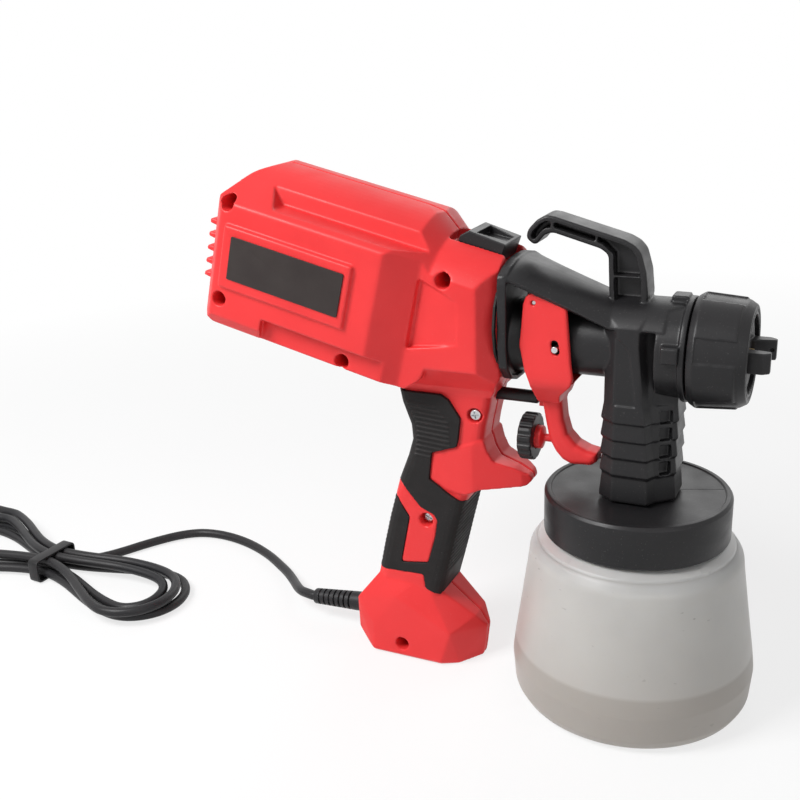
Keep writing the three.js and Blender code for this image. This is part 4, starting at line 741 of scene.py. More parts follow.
MOTOR_SIDE_OUTLINE = [
    (MOTOR_REAR_U, 139), (MOTOR_REAR_U + 6, 131.5), (MOTOR_REAR_U + 14, 129.5), (-150, 129.5), (-140, 140),
    (-140, 206), (-147, 211), (-155, 216.4), (-166, 217.5), (-247, 217.5), (-256, 212.5),
    (MOTOR_REAR_U, 200),
]
MOTOR_PLAN = across(
    [(MOTOR_REAR_U, 38), (MOTOR_REAR_U + 5, MOTOR_SIDE_Y), (-168, MOTOR_SIDE_Y), (-152, 31), (-130, 31)]
)
MOTOR_SECTION = mirrored(
    [*arc(0, AXIS_V, 44, 90, 57, 8), (MOTOR_SIDE_Y, 200), (MOTOR_SIDE_Y, 140), (38, 133.5), (22, 129.5)]
)
NOSE_CONE = [
    (0, MOTOR_REAR_U - 2), (70, MOTOR_REAR_U - 2), (70, -194), (NECK_R, -148), (NECK_R, -120), (0, -120),
]
PANEL_OUTLINE = [(-254, 156.5), (-181, 156.5), (-181, 189.5), (-254, 189.5)]
PANEL_FACE_Y = -45.4
LABEL_OUTLINE = [(-248.5, 162.4), (-184.5, 162.4), (-184.5, 184.9), (-248.5, 184.9)]
SLAT_COUNT = 5
VENT_V = 171.5
VENT_PITCH = 7.1
VENT_SLOT = 3.3
VENT_HALF_LENGTH = 22
CHAMBER_FRONT_U = -252.5
CHAMBER_HALF_WIDTH = 27
CHAMBER_HALF_HEIGHT = 20
SLAT_HALF_LENGTH = 36
SLAT_REAR_U = -268.2
# The recesses in the motor's sides, as sections at positive Y, and where their rear ends stand.
UPPER_RECESS = [(46, 225), (21.5, 225), (26, 202), (46, 202)]
UPPER_RECESS_REAR_U = -233.5
LOWER_RECESS = [(46, 120), (46, 147), (36.5, 144.5), (36.5, 120)]
LOWER_RECESS_REAR_U = -230


def upper_recess_rear(y, v):
    return UPPER_RECESS_REAR_U + (abs(y) - 24) * 0.15 - (v - 202) * 0.85


def lower_recess_rear(y, v):
    return LOWER_RECESS_REAR_U + (abs(y) - 36) * 0.4


def motor_block():
    wide = MOTOR_SIDE_Y + 1
    side = prism("Y", filleted(MOTOR_SIDE_OUTLINE, 12), -wide, wide, place=TILT)
    plan = prism("Z", filleted(MOTOR_PLAN, 3.5), 120, 225, place=TILT)
    section = prism("X", filleted(MOTOR_SECTION, 3), MOTOR_REAR_U - 1, -129, place=TILT)
    nose = lathe("X", NOSE_CONE, (0, AXIS_V), 96, TILT)
    belly = box(-300, -120, -wide, wide, 100, AXIS_V, place=TILT)
    block = common(side, plan, section, join(nose, belly))
    cutters = []
    for s in (-1, 1):
        for recess, rear in ((UPPER_RECESS, upper_recess_rear), (LOWER_RECESS, lower_recess_rear)):
            cutters.append(prism("X", [(y * s, v) for y, v in recess], rear, -120, place=TILT))
    return cut(block, *cutters)


def vents():
    """The slots, and the chamber behind them that holds the filter."""
    u0, u1 = MOTOR_REAR_U - 8, MOTOR_REAR_U + 4
    low, high = VENT_V - CHAMBER_HALF_HEIGHT, VENT_V + CHAMBER_HALF_HEIGHT
    rear, side = MOTOR_REAR_U + 2.6, CHAMBER_HALF_WIDTH
    chamber = box(rear, CHAMBER_FRONT_U, -side, side, low, high, place=TILT)
    slots = []
    for i in range(SLAT_COUNT + 1):
        v = VENT_V + (i - SLAT_COUNT / 2) * VENT_PITCH
        h = VENT_SLOT / 2
        slots.append(box(u0, u1, -VENT_HALF_LENGTH, VENT_HALF_LENGTH, v - h, v + h, place=TILT))
    return [chamber, *slots]


def slats():
    """Bars across the vents, which stand out behind the block like teeth."""
    made = []
    for i in range(SLAT_COUNT):
        v = VENT_V + (i - (SLAT_COUNT - 1) / 2) * VENT_PITCH
        h = (VENT_PITCH - VENT_SLOT) / 2
        outline = [
            (MOTOR_REAR_U + 1, v - h), (SLAT_REAR_U, v - h + 0.7), (SLAT_REAR_U, v + h - 0.7),
            (MOTOR_REAR_U + 1, v + h),
        ]
        made.append(prism("Y", outline, -SLAT_HALF_LENGTH, SLAT_HALF_LENGTH, 0.9, TILT))
    return made


NECK_TOP_FRONT = (COUPLING_FACE_X, 230.6)
NECK_TOP_REAR = (-94, 240.4)
NECK_FRONT_X = -64.5
NECK_OUTLINE = [
    (-124, 158), (-71.5, 158), (NECK_FRONT_X, 171), (NECK_FRONT_X, 230.1), NECK_TOP_REAR, (-124, 246),
]
NECK_SECTION = mirrored(
    [
        (0, 260), (NECK_SIDE_Y, 260), (NECK_SIDE_Y, 175.5), (HANDLE_HALF_WIDTH + 1, 162),
        (HANDLE_HALF_WIDTH, 158), (HANDLE_HALF_WIDTH, 40), (0, 40),
    ]
)
NECK_TUNNEL = mirrored([*arc(0, AXIS_V, NECK_R, 90, 15, 16), (NECK_R - 1, 40), (0, 40)])
NECK_PLAN = across([(-210, NECK_SIDE_Y), (-73.5, NECK_SIDE_Y), (NECK_FRONT_X, NECK_SIDE_Y - 9)])
NECK_PANEL = [(-102.4, 220.4), (-83, 210.5), (-83, 188.5), (-110.6, 184.9)]
NECK_PANEL_FRONT_X = -83
NECK_PANEL_SLOPE = 0.12


def neck():
    return common(
        prism("Y", filleted(NECK_OUTLINE, 2.5), -32, 32),
        prism("X", NECK_TUNNEL, -220, 20, place=TILT),
        prism("X", filleted(NECK_SECTION, 2), -220, 20),
        prism("Z", filleted(NECK_PLAN, 2), 150, 262),
    )


def neck_panels():
    """What is taken off the neck's sides: shallow at the front and deeper toward the motor."""

    def far_floor(x, z):
        return NECK_SIDE_Y - 0.3 - (NECK_PANEL_FRONT_X - x) * NECK_PANEL_SLOPE

    def near_floor(x, z):
        return -far_floor(x, z)

    return [prism("Y", NECK_PANEL, -40, near_floor), prism("Y", NECK_PANEL, far_floor, 40)]


GRIP_REAR = [
    (-124.5, 165), (-121.5, 150), (-117, 138), (-116.4, 130), (-119.2, 120.6), (-125.2, 105.5),
    (-131.6, 82.7), (-135.4, 67.1), (-141, 42), (-143.7, 30),
]
GRIP_FRONT = [
    (-104.2, 30), (-101, 42), (-95.9, 60.9), (-92.2, 76.2), (-88.5, 91.1), (-86.7, 98.5), (-78, 127.3),
    (-75.8, 141), (-73.6, 151.1), (-71, 165),
]
GRIP_BARE_ABOVE_Z = 98.5
HANDLE_OUTLINE = [(x + GRIP_SIDE_RISE, z) for x, z in GRIP_REAR] + [
    (x - GRIP_SIDE_RISE if z < GRIP_BARE_ABOVE_Z else x, z) for x, z in GRIP_FRONT
]
COLLAR_EDGE = [(-160, 50.5), (-110.8, 52.4), (-110, 44.1), (-103, 40.6), (-100, 33), (-60, 30)]
RUBBER_REGION = [
    (-160, 157.5), *COLLAR_EDGE,
    (-60, 98.2), (-88.6, 98.5), (-97, 103.5), (-104.3, 109.2), (-101, 125.1), (-90.9, 127), (-89.1, 133.9),
    (-87.7, 145.6), (-94.1, 155.1), (-98.4, 157.5),
]
INSET_OUTLINE = [
    (-136, 110), (-121.7, 104.9), (-111.4, 92.7), (-103.6, 89.4), (-101.7, 86), (-103.2, 76.4),
    (-107.8, 59.9), (-124, 57.3), (-118.1, 85.6), (-124.7, 95.6), (-136, 98.5),
]
GUARD_OUTLINE = [
    (-104, 125), (-76.5, 134.5), (-74.6, 127.5), (-71.5, 122.2), (-61.5, 118.6), (-54.6, 115), (-53, 112),
    (-56, 108.8), (-68, 107.4), (-79, 106.2), (-86, 102.5), (-97, 104), (-106, 109.5),
]
GUARD_PLAN = across([(-110, 16.4), (-82, 16.4), (-58, 8), (-52, 4)])

# The corners of the foot on its far side, each with a mirror image on the near side.
FOOT_CORNERS = [
    (-136.5, 15.5, 50), (-112, 15.5, 49), (-126.5, 21.5, 37), (-94.3, 22, 20.5), (-140, 22.6, 18.4),
    (-141, 22.6, 2), (-99.8, 22.3, 2), (-151.3, 19, 31), (-151.5, 18, 12), (-146.5, 16, 0), (-141, 20.5, 0),
    (-100, 20.5, 0), (-91, 16, 0), (-82, 3, 0), (-81, 2, 5), (-79.4, 2.5, 19), (-84.5, 8, 27),
    (-98, 12, 34),
]


def foot():
    """Faceted: a flat panel low on each side, and slopes from its upper edge to the handle."""
    return hull([(x, y * s, z) for x, y, z in FOOT_CORNERS for s in (-1, 1)])


def grip_form(lower):
    """The grip's outside, moved in by lower."""
    half = GRIP_HALF_WIDTH - lower
    return prism("Y", GRIP_REAR + GRIP_FRONT, -half, half, 6.5)


def collar():
    """The red band under the rubber, from its lower edge down into the foot."""
    below = [*COLLAR_EDGE, (-60, 20), (-160, 20)]
    return common(grip_form(0.3), prism("Y", below, -30, 30))


def guard():
    outline = prism("Y", filleted(GUARD_OUTLINE, 2), -16.4, 16.4, 1.2)
    return common(outline, prism("Z", filleted(GUARD_PLAN, 1.5), 90, 140))


GRIP_SCREW = (-80.6, 147.6)
# Each housing screw: its place, and the Y of the seat under its head.
SCREWS = [
    (from_motor(-255.6, 199.4), -7),
    (from_motor(-253.4, 149.2), -7),
    (from_motor(-182, 136.6), -7),
    ((-90, 220), -7),
    (GRIP_SCREW, -12.2),
    ((-108.4, 85.3), -11),
    ((-123.1, 8.6), -7),
]
SCREW_HEAD_R = 3
SCREW_HEAD_HEIGHT = 2.2
SCREW_SHANK_R = 1.4
SCREW_END_Y = 7.7
SCREW_CROSS_HALF = 1.9
SCREW_CROSS_HALF_WIDTH = 0.42
SCREW_CROSS_DEPTH = 1.3
WELL_R = 3.9
PLUNGER_Z = 155.9
PLUNGER_R = 3.3
PLUNGER_ROD_R = 2
PLUNGER_TIP_X = -51.4
PLUNGER_SHOULDER_X = -75.5
PLUNGER_REAR_X = -98.6
PLUNGER_TRAVEL = 7

LATCH_SLOPE = math.atan2(NECK_TOP_REAR[1] - NECK_TOP_FRONT[1], NECK_TOP_FRONT[0] - NECK_TOP_REAR[0])
LATCH_TRAVEL = 4
LATCH_REAR_S = 23.5
LATCH_SINK = 4.8
LATCH_HALF_WIDTH = 12


def latch_place():
    """The frame of the latch: its X runs back up the neck's slope and its Z stands square to it."""
    cos_s, sin_s = math.cos(LATCH_SLOPE), math.sin(LATCH_SLOPE)
    return Matrix(
        (
            (-cos_s, 0, sin_s, NECK_TOP_FRONT[0]),
            (0, 1, 0, 0),
            (sin_s, 0, cos_s, NECK_TOP_FRONT[1]),
            (0, 0, 0, 1),
        )
    )


def latch_track():
    rear = LATCH_REAR_S + LATCH_TRAVEL + 2 * RUN_GAP
    side = LATCH_HALF_WIDTH + RUN_GAP
    return box(-3, rear, -side, side, -LATCH_SINK - 2 * RUN_GAP, 12, place=latch_place())


def wells():
    return [lathe("Y", rod(WELL_R, -60, seat + 0.1), place, 40) for place, seat in SCREWS]


def inset_form():
    """The outline of the red inset in the rubber, drawn right through the grip."""
    return prism("Y", filleted(INSET_OUTLINE, 1.5), -30, 30)


def make_housing():
    panel = prism("Y", filleted(PANEL_OUTLINE, 1.5), PANEL_FACE_Y, -40, 1.3, TILT, 2)
    handle = prism("Y", HANDLE_OUTLINE, -HANDLE_HALF_WIDTH, HANDLE_HALF_WIDTH, 5)
    inset = common(grip_form(0.3), inset_form())
    whole = join(motor_block(), neck(), panel, handle, inset, collar(), foot(), guard(), *slats())
    whole = cut(whole, *neck_panels())
    socket = lathe("X", rod(SPIGOT_R + 0.5, -80.5, NECK_FRONT_X + 2), (0, COUPLING_Z), 96)
    bore_end = PLUNGER_REAR_X - PLUNGER_TRAVEL - 2.4
    bore = lathe("X", rod(PLUNGER_R + RUN_GAP, bore_end, -60), (0, PLUNGER_Z), 32)
    relief_hole = lathe("X", rod(5.9, -12, 8), (0, 0), 32, RELIEF_PLACE)
    whole = cut(whole, socket, bore, relief_hole, latch_track(), *vents(), *wells())
    for side, low, high in (("right", -FAR, -SEAM_HALF_GAP), ("left", SEAM_HALF_GAP, FAR)):
        half = common(link("half", whole.data.copy()), box(-FAR, FAR, low, high, -FAR, FAR))
        half = moulded(half, voxel=0.6, rounds=6, keep=0.3)
        name, node = f"housing_shell_{side}", f"housing_{side}"
        hand_over(half, name, "motor_unit", "red_plastic", node, sharp=False)
    bpy.data.objects.remove(whole)


RIB_COUNT = 12
RIB_PITCH = 2.6
RIB_TOP_Z = 151
RIB_R = 0.62
RIB_REAR = [(-117.5, 152), (-112, 140), (-112.4, 128), (-114.5, 119)]
RIB_FRONT = [(-101.5, 152), (-94, 143), (-93.5, 130), (-99, 119)]
TOOTH_COUNT = 15
TOOTH_PITCH = 2.75
TOOTH_TOP_Z = 94
TOOTH_R = 0.9


def make_grip_rubber():
    region = prism("Y", filleted(RUBBER_REGION, 2), -GRIP_HALF_WIDTH - 1, GRIP_HALF_WIDTH + 1)
    sleeve = common(grip_form(0), region)
    ribs = []
    for i in range(RIB_COUNT):
        z = RIB_TOP_Z - i * RIB_PITCH
        rear, front = x_at(RIB_REAR, z), x_at(RIB_FRONT, z)
        for s in (-1, 1):
            y = s * (GRIP_HALF_WIDTH - 0.1)
            ribs.append(line((rear, y, z + 0.6), (front, y, z - 0.6), RIB_R))
    sleeve = join(sleeve, *ribs)
    inner = HANDLE_HALF_WIDTH - 0.6
    holes = [
        prism("Y", HANDLE_OUTLINE, -inner, inner, 5),
        inset_form(),
        prism("Y", GUARD_OUTLINE, -30, 30),
        foot(),
        lathe("Y", rod(WELL_R + 1.5, -30, 30), GRIP_SCREW, 32),
    ]
    for i in range(TOOTH_COUNT):
        z = TOOTH_TOP_Z - i * TOOTH_PITCH
        for side in (GRIP_REAR, [*reversed(GRIP_FRONT)]):
            x = x_at(side, z)
            holes.append(line((x, -GRIP_HALF_WIDTH, z), (x, GRIP_HALF_WIDTH, z), TOOTH_R))
    sleeve = moulded(cut(sleeve, *holes), voxel=0.4, rounds=2, keep=0.4)
    hand_over(sleeve, "grip_sleeve", "motor_unit", "rubber", "grip_rubber", sharp=False)


def make_label():
    low = PANEL_FACE_Y - 0.7
    plate = prism("Y", filleted(LABEL_OUTLINE, 0.8), low, low + 0.75, 0.12, TILT)
    hand_over(plate, "label", "motor_unit", "label", "label_plate")


def make_screws():
    for i, ((x, z), seat) in enumerate(SCREWS):
        top = seat - SCREW_HEAD_HEIGHT
        outline = [
            (0, top), (SCREW_HEAD_R, top), (SCREW_HEAD_R, seat), (SCREW_SHANK_R, seat),
            (SCREW_SHANK_R, SCREW_END_Y), (0, SCREW_END_Y),
        ]
        head = lathe("Y", filleted(outline, [0, 1.1, 0.2, 0, 0, 0]), (x, z), 40)
        turn = Matrix.Translation((x, 0, z)) @ Matrix.Rotation(math.radians(20 + 37 * i), 4, "Y")
        a, b, floor = SCREW_CROSS_HALF, SCREW_CROSS_HALF_WIDTH, top + SCREW_CROSS_DEPTH
        slots = [box(-p, p, top - 1, floor, -q, q, place=turn) for p, q in ((a, b), (b, a))]
        name = f"housing_screw_{i + 1}"
        hand_over(cut(head, *slots), f"crosshead_screw_{i + 1}", "motor_unit", "steel", name)


def make_latch():
    place = latch_place()
    outline = [
        (0.4, -LATCH_SINK), (LATCH_REAR_S, -LATCH_SINK), (LATCH_REAR_S, 0.2), (LATCH_REAR_S - 3.4, 4),
        (0.4, 4.6),
    ]
    block = prism("Y", filleted(outline, 0.6), -LATCH_HALF_WIDTH, LATCH_HALF_WIDTH, 0.8, place)
    wide = LATCH_HALF_WIDTH - 2.2
    dish = [(2.2, wide - 4.5), (16.5, wide), (16.5, -wide), (2.2, -wide + 4.5)]
    dish = prism("Z", dish, lambda s, y: 3.6 - s * 0.22, 8, 0, place)
    block = moulded(cut(block, dish), voxel=0.3, rounds=2, keep=0.5)
    hand_over(block, "latch_button", "latch", "black_plastic", "latch_slider", sharp=False)


def make_plunger():
    outline = [
        (0, PLUNGER_REAR_X), (PLUNGER_ROD_R, PLUNGER_REAR_X), (PLUNGER_ROD_R, PLUNGER_SHOULDER_X),
        (PLUNGER_R, PLUNGER_SHOULDER_X), (PLUNGER_R, PLUNGER_TIP_X), (0, PLUNGER_TIP_X),
    ]
    plunger = lathe("X", filleted(outline, [0, 0.3, 0, 0.3, 1.2, 0]), (0, PLUNGER_Z), 48)
    groove = box(-66, -53, PLUNGER_R - 0.8, 5, PLUNGER_Z - 1, PLUNGER_Z + 1)
    hand_over(cut(plunger, groove), "plunger_rod", "plunger", "black_plastic", "switch_plunger")


def make_strain_relief():
    """A tapered sleeve with the ring grooves that let a real one bend, made here as one stiff piece."""
    bore = CORD_R + 0.05
    end = -RELIEF_LENGTH
    profile = [
        (bore, end), (4.3, end), (4.6, end + 0.5), (RELIEF_R, -12), (RELIEF_R, 3), (RELIEF_FLANGE_R, 3),
        (RELIEF_FLANGE_R, 5.6), (bore, 5.6),
    ]
    body = lathe("X", profile, (0, 0), 64, RELIEF_PLACE)
    cuts = []
    for i in range(RELIEF_GROOVES):
        x = end + 3.5 + i * RELIEF_PITCH
        floor_r = 4.0 + 0.03 * i
        cuts.append(lathe("X", ring(floor_r, 9, x, x + RELIEF_GROOVE), (0, 0), 48, RELIEF_PLACE))
    hand_over(cut(body, *cuts), "cord_guard", "motor_unit", "cord_pvc", "strain_relief")


# ---------------------------------------------------------------- spray head

NOZZLE_Z = 188.3
AIR_TUBE_R = 17
AIR_BORE_R = 14
BARREL_R = 23
BARREL_FLANGE_R = 25
THREAD_R = 20
THREAD_BORE_R = 18.6
FLUID_TUBE_R = 7.2
FLUID_TUBE_FRONT_X = 36.5
FLUID_BORE_R = 4.4
NUT_MOUTH_R = 18.4
POST_PLAN = across([(-14.8, 14.5), (-8, 20), (8.5, 20), (11, 15.5), (19, 8.5)])
POST_BOTTOM_Z = 114.3
ROOF_THICKNESS = 3
FLANGE_REAR_X = -64
FLANGE_FRONT_X = -59.6
FLANGE_HALF_WIDTH = 27.2
FLANGE_TOP_Z = 229
FLANGE_CORNER_Z = 223.4
FLANGE_OUTLINE = mirrored(
    [
        (0, FLANGE_TOP_Z), (10, 228.4), (19, 226.4), (26.2, FLANGE_CORNER_Z), (FLANGE_HALF_WIDTH, 219),
        (FLANGE_HALF_WIDTH, 188), (25, 178), (18, 170.4), (9, 167.4), (0, 167),
    ]
)
POST_DRAW = 6.5
POST_DRAW_LOW_Z = 125
POST_DRAW_HIGH_Z = 192
POST_PANEL = [(-18, 158.5), (-18, 198), (-7, 196), (-2.2, 191), (-0.8, 183), (2.6, 158.5)]
POST_PANEL_Y = 19.2
SHINGLES = [(163, 154.5), (154.5, 145.6), (145.6, 136.7), (136.7, 127.8), (127.8, 114.3)]
SHINGLE_STEP = 1.1
WINDOW_ZS = (157.3, 148.7, 140.1, 131.5)
WINDOW_TURN = math.radians(41.2)
PIVOT_X = -48.1
PIVOT_Z = 210
PIN_R = 1.6
PIN_PLAY = 0.35
PIVOT_PIN_R = 1.15
LINK_X = -37.2
NEEDLE_TRAVEL = 2.7

HOOK_OUTER = [
    (-56.2, 238), (-55.4, 242), (-51, 246.8), (-46.5, 249.3), (-42.5, 248.8), (-9, 239.5), (-4.5, 237.2),
    (-1.2, 233.7), (1.5, 224.5), (3.4, 207), (-15.2, 207), (-16.4, 232.1), (-20.2, 234.7), (-43.2, 241.2),
    (-47, 240), (-51.6, 234.3),
]
HOOK_POCKET = [
    (-42.6, 246.2), (-9.8, 237.1), (-5.6, 235), (-3.6, 232), (-1, 222.5), (-0.2, 207.5), (-12.6, 207.5),
    (-13.9, 232.6), (-19.3, 237.1), (-42.6, 243.6),
]
HOOK_TIP_POCKET = [
    (-44, 245.9), (-46.4, 246.6), (-49.6, 244.7), (-53.2, 240.8), (-53.8, 238.4), (-52, 237.4),
    (-48.6, 241.8), (-46.6, 243.2), (-44, 243.4),
]
HOOK_HALF_WIDTH = 8
HOOK_WEB_HALF = 1.6


def on_nozzle(profile, sides=96):
    """A solid turned about the nozzle's axis."""
    return lathe("X", profile, (0, NOZZLE_Z), sides)


def roof():
    """The ruled shell from the coupling ring's circle to the barrel's."""

    def section(x, half_width, top, edge):
        sag = top - edge
        r = (half_width**2 + sag**2) / (2 * sag)
        half = math.degrees(math.asin(half_width / r))
        outer = arc(0, top - r, r, 90 - half, 90 + half, 48)
        inner = arc(0, top - r, r - ROOF_THICKNESS, 90 + half, 90 - half, 48)
        return [(x, y, height) for y, height in outer + inner]

    barrel_top = NOZZLE_Z + BARREL_R + 0.6
    barrel_edge = NOZZLE_Z + 12
    return loft(
        [
            section(-61, FLANGE_HALF_WIDTH - 0.5, FLANGE_TOP_Z, FLANGE_CORNER_Z),
            section(-12, 20, barrel_top, barrel_edge),
            section(13, 20, barrel_top, barrel_edge),
        ]
    )


def hook():
    body = prism("Y", filleted(HOOK_OUTER, 8, 6), -HOOK_HALF_WIDTH, HOOK_HALF_WIDTH, 1)
    cutters = []
    for pocket in (filleted(HOOK_POCKET, 1.2), filleted(HOOK_TIP_POCKET, 0.6)):
        cutters.append(prism("Y", pocket, -HOOK_HALF_WIDTH - 1, -HOOK_WEB_HALF))
        cutters.append(prism("Y", pocket, HOOK_WEB_HALF, HOOK_HALF_WIDTH + 1))
    body = cut(body, *cutters)
    half = HOOK_HALF_WIDTH - 0.4
    return join(body, box(-22.6, -21.6, -half, half, 236, 242), box(-14, -1.5, -half, half, 221.6, 222.6))


def post_section(z, step=0.0):
    """The post's section at a height, moved out by step. The front corners draw back toward the top."""
    up = min(1, max(0, (z - POST_DRAW_LOW_Z) / (POST_DRAW_HIGH_Z - POST_DRAW_LOW_Z)))
    plan = [(x - (POST_DRAW * up if 8 < x < 12 else 0), y) for x, y in POST_PLAN]
    return [(x, y, z) for x, y in filleted(grown(plan, step), 0.8, 3)]


def post():
    """The post under the barrel, with its shingled foot and the windows in its front corners."""
    column = loft([post_section(z) for z in (POST_BOTTOM_Z, POST_DRAW_LOW_Z, POST_DRAW_HIGH_Z, 212)])
    round_top = join(on_nozzle(rod(BARREL_R + 0.6, -20, 30)), box(-30, 30, -30, 30, 100, NOZZLE_Z))
    column = common(column, round_top)
    panel = filleted(POST_PANEL, 2)
    column = cut(column, prism("Y", panel, -30, -POST_PANEL_Y), prism("Y", panel, POST_PANEL_Y, 30))
    flares = []
    for top, bottom in SHINGLES:
        sections = ((top, 0), (bottom + 0.8, SHINGLE_STEP), (bottom, SHINGLE_STEP - 0.5))
        flares.append(loft([post_section(z, step) for z, step in sections]))
    column = join(column, *flares)
    windows = []
    for z in WINDOW_ZS:
        for s in (-1, 1):
            place = Matrix.Translation((15, s * 12, z)) @ Matrix.Rotation(-s * WINDOW_TURN, 4, "Z")
            deep = (-4, 2.6) if s < 0 else (-2.6, 4)
            windows.append(box(-3.1, 3.1, *deep, -3.2, 3.2, place=place))
    return cut(column, *windows)


def flange():
    """The coupling's flange: flat sides, an arched top, and a hollow front inside a thin rim."""
    outer = prism("X", filleted(FLANGE_OUTLINE, 3), FLANGE_REAR_X, FLANGE_FRONT_X)
    inner = prism("X", filleted(grown(FLANGE_OUTLINE, -2.2), 3), FLANGE_REAR_X + 2.4, FLANGE_FRONT_X + 9)
    return cut(outer, inner)


def make_head_body():
    shell = flange()
    tube = [(0, -63.5), (20.5, -63.5), (18.5, -61), (AIR_TUBE_R, -57), (AIR_TUBE_R, -9), (0, -9)]
    spigot = lathe("X", ring(SPIGOT_R - 3, SPIGOT_R, -76.4, FLANGE_REAR_X + 2), (0, COUPLING_Z), 96)
    shell = join(
        shell,
        spigot,
        on_nozzle(filleted(tube, [0, 0, 1, 3, 0, 0])),
        roof(),
        box(PIVOT_X - 4, PIVOT_X + 4, -17.5, 17.5, 203, 216),
        on_nozzle(rod(BARREL_R, 9.5, 21)),
        post(),
        hook(),
        on_nozzle(filleted(rod(BARREL_FLANGE_R, 20.4, 23.4), [0, 0.7, 0.7, 0])),
        box(13, 20.6, -5, 5, 206, 214.4, 0.8),
        box(13, 21, -27, 27, 187.7, 195.6, 1.2),
        lathe("Z", rod(11, 106, 117), (0, 0), 48),
    )
    thread = on_nozzle(ring(THREAD_BORE_R, THREAD_R, 23, 38))
    shell = join(shell, thread, on_nozzle(rod(FLUID_TUBE_R, 10, FLUID_TUBE_FRONT_X), 48))
    slot = PIN_R + PIN_PLAY
    shell = cut(
        shell,
        lathe("Y", rod(PIN_R + 0.1, -40, 40), (PIVOT_X, PIVOT_Z), 32),
        box(LINK_X - NEEDLE_TRAVEL - slot, LINK_X + slot, -40, 40, NOZZLE_Z - slot, NOZZLE_Z + slot),
        on_nozzle(rod(AIR_BORE_R, -59.3, -10), 48),
        on_nozzle(rod(FLUID_BORE_R, -13, 40), 32),
        lathe("Z", rod(3.4, 100, NOZZLE_Z), (0, 0), 24),
        on_nozzle(rod(NUT_MOUTH_R, 23.6, 40), 64),
    )
    shell = join(shell, on_nozzle(ring(FLUID_BORE_R, FLUID_TUBE_R, 10, FLUID_TUBE_FRONT_X), 48))
    shell = moulded(shell, voxel=0.5, rounds=4, keep=0.35)
    hand_over(shell, "spray_head_shell", "spray_head", "black_plastic", "head_body", sharp=False)


def make_pins():
    for name, body, node, r, half, place in (
        ("pivot_pin", "spray_head", "trigger_pin", PIVOT_PIN_R, 19.8, (PIVOT_X, PIVOT_Z)),
        ("link_pin", "needle", "needle_link_pin", PIN_R, 22, (LINK_X, NOZZLE_Z)),
    ):
        pin = lathe("Y", filleted(rod(r, -half, half), [0, 0.4, 0.4, 0]), place, 32)
        hand_over(pin, name, body, "steel", node)


CHEEK_OUTLINE = [
    (-48.6, 215.4), (-52, 213), (-53.4, 209), (-54.4, 197), (-55.2, 188.7), (-52.7, 176.4), (-50.4, 170.4),
    (-49.4, 162.9), (-48.6, 157.4), (-46.2, 144.5), (-44.6, 136.6), (-41, 130), (-37.4, 126), (-33, 124),
    (-22.6, 124.6), (-19.6, 127), (-19.8, 131.4), (-25, 132.4), (-30.4, 134.8), (-34.8, 139.5), (-37, 147),
    (-38, 156), (-36.4, 163), (-29.6, 170.2), (-28.4, 174), (-29.5, 181.3), (-31.8, 207.9), (-35.5, 212),
    (-43, 216),
]
CHEEK_INNER_Y = 18.5
CHEEK_OUTER_Y = 21
BLADE_HALF_WIDTH = 7
TRIGGER_SECTION = mirrored(
    [
        (0, 250), (CHEEK_OUTER_Y, 250), (CHEEK_OUTER_Y, 170), (BLADE_HALF_WIDTH, 153),
        (BLADE_HALF_WIDTH, 100), (0, 100),
    ]
)
CHANNEL_OUTLINE = [
    (-70, 167.5), (-41, 167.5), (-41, 155.4), (-39.8, 147), (-38.2, 140.5), (-40, 137.5), (-46, 138.5),
    (-50, 145),
]
KNOB_Z = 134.6
KNOB_R = 12.3
KNOB_REAR_X = -59.5
KNOB_FRONT_X = -52.2
KNOB_FLUTES = 16
KNOB_FLUTE_R = 1.5
KNOB_HUB_R = 6
KNOB_SCREW_R = 2
KNOB_SCREW_FRONT_X = -37


def make_trigger():
    cheeks = prism("Y", filleted(CHEEK_OUTLINE, 3), -CHEEK_OUTER_Y, CHEEK_OUTER_Y, 1.3)
    cheeks = common(cheeks, box(-80, 0, -30, 30, 158, 240))
    blade = prism("Y", CHEEK_OUTLINE, -BLADE_HALF_WIDTH, BLADE_HALF_WIDTH, 3.2)
    shell = common(join(cheeks, blade), prism("X", filleted(TRIGGER_SECTION, 12, 8), -80, 0))
    shell = cut(
        shell,
        box(-80, 0, -CHEEK_INNER_Y, CHEEK_INNER_Y, NOZZLE_Z - AIR_TUBE_R - 0.8, 240),
        prism("Y", filleted(CHANNEL_OUTLINE, 2), -5, 5),
    )
    boss = common(lathe("X", rod(4.5, -46, -31), (0, KNOB_Z + 2), 40), prism("Y", CHEEK_OUTLINE, -11, 11))
    shell = join(shell, boss, box(-50.8, -38.5, -2, 2, PLUNGER_Z - 4, PLUNGER_Z + 4))
    r = PIN_R + PIN_PLAY
    slot = arc(LINK_X + 0.2, NOZZLE_Z - 1.1, r, 190, 370, 10)
    slot += arc(LINK_X - 0.4, NOZZLE_Z + 2.5, r, 10, 190, 10)
    shell = cut(
        shell,
        prism("Y", slot, -30, 30),
        lathe("Y", rod(PIVOT_PIN_R + 0.15, -40, 40), (PIVOT_X, PIVOT_Z), 32),
        lathe("X", rod(KNOB_SCREW_R + RUN_GAP, -60, KNOB_SCREW_FRONT_X + 1), (0, KNOB_Z), 24),
    )
    shell = moulded(shell, voxel=0.4, rounds=7, keep=0.4)
    hand_over(shell, "trigger_lever", "trigger", "red_plastic", "trigger", sharp=False)


